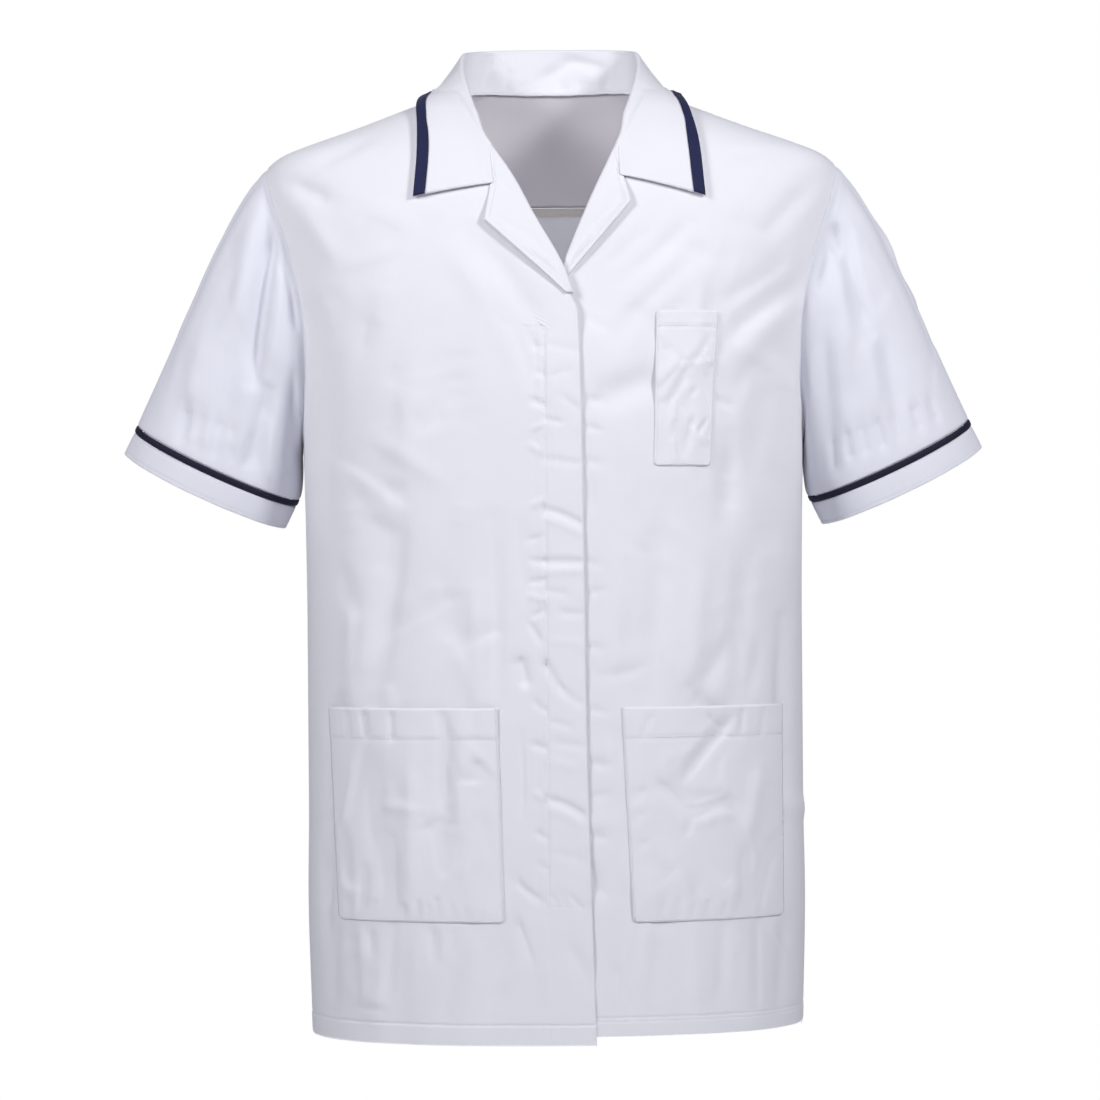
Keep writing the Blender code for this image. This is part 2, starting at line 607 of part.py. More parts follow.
def grid_normals(points, tube=False):
    """Return unit normals of a grid of points from its own differences."""
    if tube:
        across = np.roll(points, -1, axis=1) - np.roll(points, 1, axis=1)
    else:
        across = np.gradient(points, axis=1)
    return unit(np.cross(across, np.gradient(points, axis=0)))


# ---------------------------------------------------------------- collar
def body_clearance(points):
    """Return the distance of points outside the plain body, and the way out."""
    def excess(at):
        z = at[..., 2]
        width = smooth_lookup(WIDTH, z) - 4.0 * np.maximum(z, 0.0)
        width = np.maximum(width, 0.005)
        depth = np.where(at[..., 1] < 0.0, smooth_lookup(DEPTH, z, 1), smooth_lookup(DEPTH, z, 2))
        return ((np.abs(at[..., 0]) / width) ** SECTION_POWER
                + (np.abs(at[..., 1]) / depth) ** SECTION_POWER) ** (1.0 / SECTION_POWER) - 1.0
    step = 2e-4
    slopes = [(excess(points + step * way) - excess(points - step * way)) / (2.0 * step)
              for way in np.eye(3)]
    gradient = np.stack(slopes, axis=-1)
    size = np.linalg.norm(gradient, axis=-1)
    return excess(points) / size, gradient / size[..., None]


def lift_off(points, wanted):
    """Move points outwards until each clears the plain body by a wanted distance."""
    for _ in range(6):
        distance, way = body_clearance(points)
        points = points + way * np.maximum(wanted - distance, 0.0)[..., None]
    return points


def neck_seam(station, edge_table):
    """Return points and normals along the neckline at a station number."""
    back = 0.5 * math.pi * (1.0 - np.minimum(station / BACK_STATIONS, 1.0))
    drops = np.concatenate([[0.0], NECK_ROWS])
    z = np.interp(station, BACK_STATIONS + np.arange(len(drops)), drops)
    edge = np.minimum(smooth_lookup(edge_table, z), smooth_lookup(WIDTH, z))
    theta = np.where(station < BACK_STATIONS, back, theta_at(edge, z, -1))
    return section_point(theta, z), surface_normal(section_point, theta, z)


def collar_frame(station, side, edge_table):
    """Return the key points and directions of the collar's section at a station.

    They are the foot of the stand, the roll, the outer edge, the fold's up and outward
    directions, the neck seam and the direction off the panel's edge.
    """
    stations = np.array(COLLAR_STATIONS)
    last = len(stations) - 1
    share = station / last
    roll, edge = through_points(stations[:, :3], share), through_points(stations[:, 3:], share)
    point_x = front_points(side)[4]
    edge[..., 0] += (point_x - stations[-1, 3]) * smooth_step(*POINT_BLEND, -edge[..., 1])
    seam, normal = neck_seam(station, edge_table)
    step = 0.02
    run = unit(neck_seam(station + step, edge_table)[0] - neck_seam(station - step, edge_table)[0])
    off_panel = unit(np.cross(run, normal))
    off_panel *= np.where(off_panel[..., 2:] < 0.0, -1.0, 1.0)
    front_end = smooth_step(last - FRONT_BLEND[0], last, station)[..., None]
    wrapped = seam + off_panel * (ROLL_RADIUS + ROLL_PAST_EDGE) - normal * ROLL_SINK
    roll = roll + (wrapped - roll) * front_end
    roll_run = unit(through_points(stations[:, :3], share + 0.002)
                    - through_points(stations[:, :3], share - 0.002))
    up = roll - 0.5 * (seam + edge)
    up = unit(up - roll_run * np.sum(up * roll_run, axis=-1, keepdims=True))
    up = unit(up + (off_panel - up) * front_end)
    out = unit(np.cross(up, roll_run))
    out *= np.where(np.sum(out * normal, axis=-1, keepdims=True) < 0.0, -1.0, 1.0)
    out = unit(out + (normal - out) * front_end)
    foot = seam + off_panel * 2.0 * SEAM_GAP
    stand_way = roll - up * ROLL_RADIUS - out * ROLL_RADIUS - foot
    stand_way = unit(stand_way - run * np.sum(stand_way * run, axis=-1, keepdims=True))
    face = unit(np.cross(run, stand_way))
    face *= np.where(np.sum(face * out, axis=-1, keepdims=True) > 0.0, -1.0, 1.0)
    face = unit(face + (-normal - face) * front_end)
    face = unit(face - off_panel * np.minimum(np.sum(face * off_panel, axis=-1, keepdims=True), 0.0))
    foot = foot + face * (COLLAR_CLOTH + FOOT_STEP * front_end)
    return foot, roll, edge, up, out, seam, off_panel, face


def front_points(side):
    """Return the notch, lapel corner and collar point of one side, as x and z pairs."""
    return next(row[1:] for row in FRONT_POINTS if row[0] == side)


def collar_surface(station, v, side, edge_table):
    """Return points of the collar's visible face and the normals of its stand and fold.

    Stations run from centre back (0) to the lapel. v runs from the neck seam (0)
    over the roll (0.4) to the outer edge (1).
    """
    foot, roll, edge, up, out, seam, off_panel, face = collar_frame(station, side, edge_table)
    near = roll - up * ROLL_RADIUS - out * ROLL_RADIUS
    far = roll - up * ROLL_RADIUS + out * ROLL_RADIUS
    last = len(COLLAR_STATIONS) - 1
    front_end = smooth_step(last - FRONT_BLEND[1], last, station)[..., None]
    notch_x, notch_z = front_points(side)[:2]
    notch = np.array([notch_x, NOTCH_Y, notch_z])
    leaf = np.clip((v - FOLD_SHARE) / (1.0 - FOLD_SHARE), 0.0, 1.0)[..., None]
    straight = far + (edge - far) * leaf
    bent = np.where(leaf < NOTCH_SHARE, far + (notch - far) * (leaf / NOTCH_SHARE),
                    notch + (edge - notch) * ((leaf - NOTCH_SHARE) / (1.0 - NOTCH_SHARE)))
    leaf_point = straight + (bent - straight) * front_end
    stand = np.clip(v / STAND_SHARE, 0.0, 1.0)[..., None]
    stand_point = foot + (near - foot) * stand
    turn = np.clip((v - STAND_SHARE) / (FOLD_SHARE - STAND_SHARE), 0.0, 1.0)[..., None] * math.pi
    radial = np.sin(turn) * up - np.cos(turn) * out
    fold_point = roll - up * ROLL_RADIUS + ROLL_RADIUS * radial
    point = np.where(v[..., None] < STAND_SHARE, stand_point,
                     np.where(v[..., None] < FOLD_SHARE, fold_point, leaf_point))
    past_edge = np.sum((point - seam) * off_panel, axis=-1)
    wanted = COLLAR_CLOTH + LEAF_CLEAR + LEAF_LIFT * smooth_step(0.5, 0.8, v)
    wanted = wanted * (1.0 - smooth_step(0.0, LEAF_SETTLE, past_edge))
    wanted = np.where(v > FOLD_SHARE, wanted, -1.0)
    fold_normal = unit(face + (radial - face) * stand)
    return lift_off(point, wanted), fold_normal


def collar_grid(v_values):
    """Return the collar's points and normals from the wearer's right end to the left end."""
    flip = np.array([-1.0, 1.0, 1.0])
    station, v = np.meshgrid(np.arange(len(COLLAR_STATIONS), dtype=float), v_values)
    right, right_fold = collar_surface(station, v, -1, OVER_EDGE)
    left, left_fold = collar_surface(station, v, 1, UNDER_EDGE)
    points = np.concatenate([(right * flip)[:, :0:-1], left], axis=1)
    fold = np.concatenate([(right_fold * flip)[:, :0:-1], left_fold], axis=1)
    normals = grid_normals(points)
    normals = np.where(normals[0, normals.shape[1] // 2, 1] > 0.0, -normals, normals)
    folded = np.repeat((v_values <= FOLD_SHARE)[:, None], points.shape[1], axis=1)
    return points, np.where(folded[..., None], fold, normals)


def build_collar(panels):
    """Make the collar, lying on the panels, and the tape along its outer edge."""
    v = np.array(COLLAR_ROWS)
    points, normals = collar_grid(v)
    free = np.repeat((v > FOLD_SHARE)[:, None], points.shape[1], axis=1)
    ways = body_clearance(points)[1]
    stand = (points - normals * COLLAR_CLOTH)[:3]
    points = lay_on(points, normals, COLLAR_CLOTH, panels + [stand], free, ways)
    cloth_wall("collar", points, normals, COLLAR_CLOTH, WHITE)
    edge, inside = points[-1], points[-2]
    length = np.linalg.norm(inside - edge, axis=-1, keepdims=True)
    strip = np.stack([edge + (inside - edge) * share * TAPE_WIDTH / length
                      for share in (1.0, 0.5, 0.02)])
    out = np.stack([normals[-1]] * 3)
    strip = strip + out * (SEAM_GAP + POCKET_CLOTH)
    strip = lay_on(strip, out, POCKET_CLOTH, [points])
    cloth_wall("collar_tape", strip, out, POCKET_CLOTH, NAVY)


# ---------------------------------------------------------------- lapels
def lapel_rim(side, roll_x, roll_z, edge_table):
    """Return x and z of a lapel's outer rim: collar seam, notch, corner, closing."""
    notch_x, notch_z, corner_x, corner_z = front_points(side)[:4]
    seam_x = smooth_lookup(edge_table, COLLAR_SEAM_END)
    top_z = roll_z[0] + RIM_TOP[1]
    down = (top_z - COLLAR_SEAM_END) / (notch_z - COLLAR_SEAM_END)
    top = (seam_x + (notch_x - seam_x) * down + RIM_TOP[0], top_z)
    notch = (notch_x + RIM_NOTCH[0], notch_z + RIM_NOTCH[1])
    close = (roll_x[-1] + RIM_CLOSE[0], roll_z[-1] + RIM_CLOSE[1])
    knots = np.array([top, notch, (corner_x, corner_z), close])
    place = np.concatenate([RIM_PLACES, np.linspace(2.0, 3.0, len(roll_z) - len(RIM_PLACES))])
    return np.stack([np.interp(place, np.arange(4), knots[:, k]) for k in range(2)], axis=1)


def lapel_points(layer, side, edge_table, stop_z):
    """Return a lapel's visible face and normals as grids from neck to closing.

    Each row starts behind the front's edge, turns round it and runs outwards
    over the panel.
    """
    roll_z = np.linspace(COLLAR_SEAM_END - LAPEL_START, stop_z, LAPEL_ROWS)
    roll_x = smooth_lookup(edge_table, roll_z)
    rim = lapel_rim(side, roll_x, roll_z, edge_table)
    surface = panel_surface(layer)

    def face_point(x, z):
        theta = theta_at(side * x, z, -1)
        return surface(theta, z), surface_normal(surface, theta, z)

    edge_point, edge_normal = face_point(roll_x, roll_z)
    run = unit(np.gradient(edge_point, axis=0))
    away = unit(np.cross(run, edge_normal)) * side
    centre = edge_point - edge_normal * 0.5 * CLOTH
    radials = [math.cos(turn) * away + math.sin(turn) * edge_normal
               for turn in np.radians(LAPEL_TURNS)]
    columns = [centre + ROLL_RADIUS * radial for radial in radials]
    rest = ROLL_RADIUS - 0.5 * CLOTH
    for share in LAPEL_SHARES:
        x = roll_x + (rim[:, 0] - roll_x) * share
        z = roll_z + (rim[:, 1] - roll_z) * share
        point, normal = face_point(x, z)
        columns.append(point + normal * (rest + LAPEL_LIFT * share * share))
        radials.append(normal)
    return np.stack(columns, axis=1), np.stack(radials, axis=1)


def build_lapels(over, under):
    """Make both turned-back facings, lying on their fronts."""
    for name, layer, side, table, stop, panel in (
            ("lapel_right", "over", -1.0, OVER_EDGE, -0.1740, over),
            ("lapel_left", "under", 1.0, UNDER_EDGE, -0.1660, under)):
        points, normals = lapel_points(layer, side, table, stop)
        free = np.zeros(points.shape[:2], dtype=bool)
        free[:, len(LAPEL_TURNS):] = True
        points = lay_on(points, normals, FACING_CLOTH, [panel[0]], free)
        cloth_wall(name, points, normals, FACING_CLOTH, WHITE)


# ---------------------------------------------------------------- pockets
def build_pockets(over, under):
    """Make the patch pockets from their panel's points, moved out."""
    for name, top_in, top_out, bottom_in, bottom_out, top_z, bottom_z in POCKETS:
        share, fall = np.meshgrid(np.linspace(0.0, 1.0, POCKET_COLUMNS), POCKET_ROWS)
        inner = top_in + (bottom_in - top_in) * fall
        outer = top_out + (bottom_out - top_out) * fall
        corner = np.clip((fall - POCKET_CORNER_START) / (1.0 - POCKET_CORNER_START), 0.0, 1.0)
        shrink = POCKET_CORNER * (1.0 - np.sqrt(1.0 - 0.96 * corner ** 2)) * np.sign(outer - inner)
        z = top_z + (bottom_z - top_z) * fall
        layer, panel = ("over", over) if top_in < 0.0 else ("under", under)
        start = theta_at(inner + shrink, z, -1)
        end = theta_at(outer - shrink, z, -1)
        theta = start + (end - start) * share
        surface = panel_surface(layer)
        normals = surface_normal(surface, theta, z)
        mouth = POCKET_MOUTH * np.sin(math.pi * share) * (1.0 - fall) ** 2
        lift = SEAM_GAP + POCKET_CLOTH + mouth
        points = surface(theta, z) + normals * lift[..., None]
        points = lay_on(points, normals, POCKET_CLOTH, [panel[0]])
        cloth_wall(name, points, normals, POCKET_CLOTH, WHITE)


def clear_scene():
    """Remove every object that the scene starts with."""
    for item in list(bpy.data.objects):
        bpy.data.objects.remove(item, do_unlink=True)


def main():
    """Build every piece of the tunic."""
    clear_scene()
    over, under = build_fronts()
    yoke = build_back()
    build_fly_strip(over)
    build_sleeves()
    build_collar([over[0], under[0], yoke])
    build_lapels(over, under)
    build_pockets(over, under)


main()
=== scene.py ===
"""White short-sleeve medical tunic with navy trim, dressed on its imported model.

Metres, +Z up. -Y is the front and -X is the wearer's right. Each piece of cloth is a
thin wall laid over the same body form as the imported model, with the folds, seams and
stitching of the worn garment added.
"""
import logging
import math
import sys
from dataclasses import dataclass, field
from enum import Enum

import bpy
import numpy as np
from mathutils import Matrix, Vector
from mathutils.bvhtree import BVHTree


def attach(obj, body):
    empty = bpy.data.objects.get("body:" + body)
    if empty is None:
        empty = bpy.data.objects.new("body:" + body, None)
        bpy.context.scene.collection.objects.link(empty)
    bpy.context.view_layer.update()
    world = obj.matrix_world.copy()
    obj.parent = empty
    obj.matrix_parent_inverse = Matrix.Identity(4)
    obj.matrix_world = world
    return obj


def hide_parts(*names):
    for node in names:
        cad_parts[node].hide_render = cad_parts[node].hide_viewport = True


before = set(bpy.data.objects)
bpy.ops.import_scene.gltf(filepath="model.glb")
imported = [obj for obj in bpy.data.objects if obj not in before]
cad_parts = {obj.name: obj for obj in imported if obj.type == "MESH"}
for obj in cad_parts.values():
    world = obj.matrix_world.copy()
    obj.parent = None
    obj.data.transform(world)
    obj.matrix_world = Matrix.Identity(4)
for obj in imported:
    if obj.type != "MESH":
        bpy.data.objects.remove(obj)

LOG = logging.getLogger("tunic")
MM = 0.001

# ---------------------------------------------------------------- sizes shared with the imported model
SECTION_POWER = 2.4
TIP_Z, UNDERARM_Z, YOKE_Z = -0.0604, -0.2900, -0.0864
HEM_OVER_Z, HEM_UNDER_Z, HEM_BACK_Z = -0.7716, -0.7647, -0.7700
NECK_RISE, NECK_FADE, NECK_HALF_WIDTH = 0.0056, 0.0450, 0.0790
ARMHOLE_DEPTH_FRONT, ARMHOLE_DEPTH_BACK = 0.052, 0.047
NECK_TOP_Z = -0.0030
COLLAR_SEAM_END = -0.0540
SEAM_GAP = 0.0003
ROLL_RADIUS = 0.0026
SEAM_CALM = 0.030
# Columns: z, half_width
WIDTH = (
    (0.0000, NECK_HALF_WIDTH), (-0.0151, 0.1196), (-0.0316, 0.1633), (-0.0440, 0.1992),
    (-0.0530, 0.2215), (-0.0604, 0.2312), (-0.0700, 0.2365), (-0.0850, 0.2380),
    (-0.0980, 0.2365), (-0.1210, 0.2310), (-0.1650, 0.2195), (-0.2000, 0.2125),
    (-0.2400, 0.2080), (-0.2900, 0.2055), (-0.3600, 0.2040), (-0.4360, 0.2033),
    (-0.5840, 0.2033), (-0.6580, 0.2042), (-0.7490, 0.2021), (-0.7720, 0.2013),
)
# Columns: z, front, back
DEPTH = (
    (0.0060, 0.0420, 0.0730), (0.0000, 0.0450, 0.0745), (-0.0200, 0.0600, 0.0860),
    (-0.0600, 0.0840, 0.1000), (-0.1200, 0.1080, 0.1150), (-0.1800, 0.1200, 0.1205),
    (-0.2600, 0.1280, 0.1220), (-0.4000, 0.1290, 0.1140), (-0.6000, 0.1280, 0.1150),
    (-0.7720, 0.1260, 0.1180),
)
# Inner edge of each front: neckline, roll line, closing edge. Columns: z, x
OVER_EDGE = (
    (-0.0010, 0.0788), (-0.0120, 0.0745), (-0.0280, 0.0655), (-0.0526, 0.0505),
    (-0.0774, 0.0332), (-0.1100, 0.0163), (-0.1498, -0.0056), (-0.1766, -0.0157),
    (-0.1880, -0.0205), (-0.3390, -0.0233), (-0.4970, -0.0244), (-0.7716, -0.0310),
)
UNDER_EDGE = (
    (-0.0010, 0.0788), (-0.0120, 0.0760), (-0.0280, 0.0685), (-0.0526, 0.0550),
    (-0.0849, 0.0386), (-0.1146, 0.0254), (-0.1498, 0.0108), (-0.1700, 0.0010),
    (-0.1900, -0.0060), (-0.2300, -0.0085), (-0.7716, -0.0085),
)
UNDER_DIP, UNDER_DIP_ZONE, UNDER_DIP_REACH = 0.0034, (0.060, 0.130), (0.030, 0.080)
CROSSING_DIP, CROSSING_Z, CROSSING_SPREAD = 0.0024, -0.1600, 0.035
OVER_RAISE, OVER_RAISE_ZONE, OVER_RAISE_START = 0.0008, (0.110, 0.160), -0.050
FLY_TOP_Z, FLY_BOTTOM_Z, FLY_INNER_X = -0.1990, -0.6600, -0.0065
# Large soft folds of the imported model. Columns: x0, z0, x1, z1, width, height
FRONT_FOLDS = (
    (-0.133, -0.345, -0.140, -0.470, 0.020, -0.0030),
    (-0.085, -0.405, -0.092, -0.500, 0.016, -0.0020),
    (-0.165, -0.330, -0.170, -0.480, 0.018, 0.0015),
    (-0.090, -0.525, -0.094, -0.640, 0.014, -0.0024),
    (-0.160, -0.535, -0.130, -0.670, 0.014, -0.0020),
    (0.195, -0.180, 0.125, -0.215, 0.016, 0.0022),
    (0.198, -0.215, 0.110, -0.262, 0.015, -0.0022),
    (0.140, -0.505, 0.100, -0.565, 0.016, -0.0024),
    (0.085, -0.568, 0.145, -0.585, 0.012, -0.0020),
    (-0.120, -0.690, -0.128, -0.790, 0.014, -0.0026),
    (-0.070, -0.690, -0.078, -0.790, 0.013, 0.0020),
    (0.090, -0.690, 0.098, -0.790, 0.016, -0.0020),
    (0.158, -0.690, 0.166, -0.790, 0.014, 0.0018),
)
BACK_FOLDS = (
    (-0.110, -0.150, -0.125, -0.520, 0.022, 0.0026),
    (0.115, -0.170, 0.120, -0.560, 0.024, 0.0024),
    (-0.045, -0.300, -0.052, -0.790, 0.022, -0.0026),
    (0.052, -0.360, 0.062, -0.790, 0.024, -0.0024),
    (0.000, -0.480, 0.006, -0.790, 0.020, 0.0018),
    (-0.150, -0.600, -0.156, -0.790, 0.018, -0.0022),
    (0.150, -0.620, 0.160, -0.790, 0.018, -0.0020),
)
# Columns: roll_x, roll_y, roll_z, edge_x, edge_y, edge_z
COLLAR_STATIONS = (
    (0.0000, 0.0780, 0.0445, 0.0000, 0.0920, -0.0140),
    (0.0315, 0.0770, 0.0443, 0.0370, 0.0910, -0.0135),
    (0.0540, 0.0710, 0.0430, 0.0690, 0.0800, -0.0115),
    (0.0670, 0.0540, 0.0400, 0.0900, 0.0570, -0.0090),
    (0.0710, 0.0310, 0.0350, 0.1010, 0.0290, -0.0070),
    (0.0713, 0.0050, 0.0225, 0.1045, 0.0000, -0.0065),
    (0.0690, -0.0170, 0.0095, 0.1075, -0.0270, -0.0150),
    (0.0666, -0.0290, 0.0005, 0.1090, -0.0420, -0.0260),
    (0.0642, -0.0390, -0.0080, 0.1105, -0.0540, -0.0370),
    (0.0612, -0.0490, -0.0170, 0.1120, -0.0640, -0.0490),
    (0.0575, -0.0590, -0.0265, 0.1135, -0.0740, -0.0620),
    (0.0533, -0.0690, -0.0385, 0.1150, -0.0830, -0.0770),
    (0.0495, -0.0780, -0.0515, 0.1170, -0.0930, -0.0954),
)
NECK_DROPS = (0.0, -0.0030, -0.0080, -0.0140, -0.0210, -0.0300, -0.0410, COLLAR_SEAM_END)
BACK_STATIONS, FRONT_BLEND, POINT_BLEND = 5, (2.5, 4.0), (0.020, 0.080)
ROLL_PAST_EDGE, ROLL_SINK, FOOT_STEP, NOTCH_Y = 0.0012, 0.0004, 0.0012, -0.0930
STAND_SHARE, FOLD_SHARE, NOTCH_SHARE = 0.35, 0.45, 0.36
NECK_TOP = 0.013      # height above which the collar's leaf is clear of the shoulders
LEAF_CLEAR, LEAF_LIFT, LEAF_SETTLE = 0.0005, 0.0020, 0.0060
PACKED_COLLAR_CLOTH = 0.0018
PACKED_CLOTH = 0.0014
# Columns: side, notch_x, notch_z, corner_x, corner_z, point_x, point_z
FRONT_POINTS = (
    (-1, 0.0463, -0.0851, 0.0536, -0.1149, 0.1104, -0.0959),
    (1, 0.0551, -0.0779, 0.0628, -0.1008, 0.1234, -0.0949),
)
LAPEL_SPANS, LAPEL_START, LAPEL_LIFT = 12, -0.0020, 0.0012
LAPEL_STOPS = {-1: -0.1740, 1: -0.1660}
RIM_TOP, RIM_NOTCH, RIM_CLOSE = (0.0022, -0.0005), (0.0024, 0.0014), (0.0030, 0.0005)
RIM_PLACES = (0.0, 0.33, 0.67, 1.0, 1.5)
SLEEVE_END = (0.2765, 0.0060, -0.3031)
SLEEVE_AXIS = (0.4290, 0.1300, -0.9030)
SLEEVE_HALF_WIDTH, SLEEVE_HALF_DEPTH = 0.0736, 0.0520
PIPING_WIDTH, CUFF_END = 0.0060, 0.0260
SLEEVE_TURN = ((0.0, 0.0), (45.0, 48.0), (90.0, 70.0), (135.0, 110.0), (180.0, 172.0))
SLEEVE_SEAM_GAP, SLEEVE_REACH = 0.0006, (0.55, 0.80)

# ---------------------------------------------------------------- creases, in millimetres
# Columns: x0, z0, x1, z1, width, height, bend, skew, taper
# Right front: chest and waist, beside and across the fly, then the hem.
OVER_CREASES = (
    (-121, -354, -145, -497.5, 8.8, -1.0, 2, 0.4, 0.4), (-138, -400, -163, -497.5, 8.2, 1.2, 0, 0, 0.4),
    (-46, -354, -44.5, -502.5, 6.4, -1.3, -2, 0.3, 0.35), (-63, -410, -59, -497.5, 7.2, 1.3, 0, 0, 0.3),
    (-90, -236, -81.5, -268, 15.9, -1.0, 0, 0, 0.4), (-107, -246.5, -122.5, -314, 11.2, 1.2, 0, 0, 0.3),
    (-67, -123, -11, -202.5, 10.4, -1.3, 4, 0, 0.3), (-79, -139, -27, -226.5, 11.2, 1.1, 4, 0, 0.3),
    (-45.5, -179, -15, -246.5, 7.2, -1, 3, 0, 0.3), (-178.5, -226.5, -185, -354, 8, -1.3, 0, 0, 0.3),
    (-174.5, -497.5, -185, -657, 7.2, -2.2, 2, 0, 0.25), (-163.5, -418, -166.5, -497.5, 5.6, 1, 0, 0, 0.3),
    (-210.5, -79, -178.5, -95, 8, -1.4, 0, 0, 0.3), (-194.5, -67, -146.5, -43.5, 6.4, -0.9, 0, 0, 0.3),
    (-202.5, -99, -170.5, -147, 9.6, 1, 0, 0, 0.3), (-26.5, -522.5, -26.5, -589, 2.8, -0.9, 0, 0.5, 0.3),
    (-27, -467.5, -24, -481.5, 4.8, -1.5, 0, 0, 0), (-20.5, -435.5, -10.5, -451.5, 2.8, -0.9, 0, 0, 0.2),
    (-36, -634.5, -10.5, -657, 3.2, -0.9, -2, 0, 0.25), (-17.5, -258.5, -6.5, -264, 2.8, -0.9, 0, 0, 0.2),
    (-11, -300, -19, -294.5, 2.4, 0.6, 0, 0, 0.2), (-18.5, -343, -8, -338, 2.4, 0.6, 0, 0, 0.2),
    (-20.5, -370, -7, -367, 2.6, -0.6, 0, 0, 0.2), (-19, -386, -7, -387.5, 2.4, -0.8, 0, 0, 0.2),
    (-19, -403.5, -6.5, -402, 2.4, -0.8, 0, 0, 0.2), (-20.5, -414, -7, -418, 2.6, 0.7, 0, 0, 0.2),
    (-18.5, -430.5, -7, -426, 2.4, -0.7, 0, 0, 0.2), (-16.5, -214.5, -6.5, -218.5, 2.4, -0.9, 0, 0, 0.2),
    (-20.5, -202.5, -10.5, -236, 3.2, -0.8, 2, 0, 0.2), (-14.5, -236, -6.5, -239.5, 2.4, -0.8, 0, 0, 0.2),
    (-16.5, -282.5, -6.5, -277.5, 2.4, 0.5, 0, 0, 0.2), (-17.5, -497.5, -6.5, -507, 2.4, -0.7, 0, 0, 0.2),
    (-19, -531, -6.5, -536, 2.8, -0.8, 0, 0, 0.2), (-18.5, -569.5, -7, -577.5, 2.4, 0.6, 0, 0, 0.2),
    (-16.5, -601, -7, -607.5, 2.4, -0.7, 0, 0, 0.2), (-14.5, -626.5, -6.5, -631.5, 2.4, -0.6, 0, 0, 0.2),
    (-5.5, -274.5, 6.5, -277, 2.6, -1, 0, 0, 0.15), (-6.5, -305.5, 23, -309.5, 3.2, -1, 0, 0.3, 0.15),
    (-6.5, -345.5, 23, -358, 3, -1.6, 1.5, 0.4, 0.1), (-6.5, -354, 20.5, -365, 3.2, 0.8, 1.5, 0, 0.15),
    (-6.5, -387, 24, -387.5, 3.6, -1.5, 0, 0.3, 0.1), (-6.5, -394.5, 24, -394, 3.6, 0.9, 0, 0, 0.15),
    (-6.5, -410, 9.5, -413, 2.4, -0.9, 0, 0, 0.2), (5, -427.5, 24, -429, 3.2, -1.1, 0, 0.2, 0.15),
    (-7, -466.5, 6.5, -489.5, 3.2, -1.6, -1, 0.3, 0.1), (5, -489.5, 24, -502.5, 4, -0.9, 0, 0, 0.2),
    (-5.5, -513.5, 13, -518.5, 2.8, -0.8, 0, 0, 0.2), (-3, -530, 24, -534, 3.2, -0.7, 0, 0, 0.2),
    (-6.5, -575, 23, -588.5, 3.6, -1.5, 1.5, 0.3, 0.1), (-5.5, -582, 20.5, -596.5, 4, 0.8, 1.5, 0, 0.15),
    (-5, -545.5, 16.5, -551.5, 4, 0.6, 0, 0, 0.2), (-4, -651.5, 1.5, -660, 2, -1.2, 0, 0, 0.1),
    (2.5, -649, 7, -659.5, 2, -1.2, 0, 0, 0.1), (9, -650.5, 19, -661.5, 2.4, -1, 0, 0, 0.1),
    (-6.5, -214.5, 20.5, -220, 2.8, -0.8, 0, 0, 0.2), (-4, -241, 14.5, -236, 2.8, -0.8, 0, 0, 0.2),
    (5, -254.5, 22.5, -268, 3.2, -0.7, 0, 0, 0.2), (1, -226.5, 1, -314, 1.3, 0.6, 0, 0, 0.1),
    (-5, -449.5, 20.5, -451.5, 3.2, 0.5, 0, 0, 0.2), (-5, -617, 20.5, -623.5, 4, -0.6, 0, 0, 0.2),
    (-164, -677.5, -161, -736.5, 4, -1.7, 0, 0.4, 0.25), (-150, -681, -148, -703, 3.2, -1.3, 0, 0, 0.2),
    (-130, -677.5, -134.5, -736.5, 4, -1.2, 0, 0.4, 0.25), (-99.5, -677.5, -95, -706.5, 2.6, -1.9, 0, 0.5, 0.2),
    (-83.5, -679.5, -83, -697, 2.4, -1, 0, 0, 0.2), (-113, -684, -116.5, -744.5, 5.6, 0.7, 0, 0, 0.25),
    (-41.5, -681, -52.5, -746, 6.4, -1.8, 2, 0, 0.3), (-32, -669, -19, -706.5, 3.6, -1.4, 0, 0.4, 0.25),
    (-67, -685, -65.5, -728.5, 6.4, 1, 0, 0, 0.3), (6.5, -689, 33.5, -733.5, 7.2, -1.9, 2, 0, 0.25),
    (16.5, -681, 36.5, -736.5, 5.6, 0.8, 0, 0, 0.25), (-79, -705, -91, -752.5, 7.2, -1.1, 0, 0, 0.3),
    (-178.5, -677, -181.5, -746, 4.8, -1.9, 0, 0, 0.25), (-161, -743, -138.5, -744.5, 4, -1.2, 0, 0, 0.2),
    (-142, -705, -145, -752.5, 4, 0.6, 0, 0, 0.3), (-11, -677, -5, -744.5, 7.2, 0.8, 0, 0, 0.3),
    (-188, -625, -185, -705, 4, -1.6, 0, 0, 0.3),
)
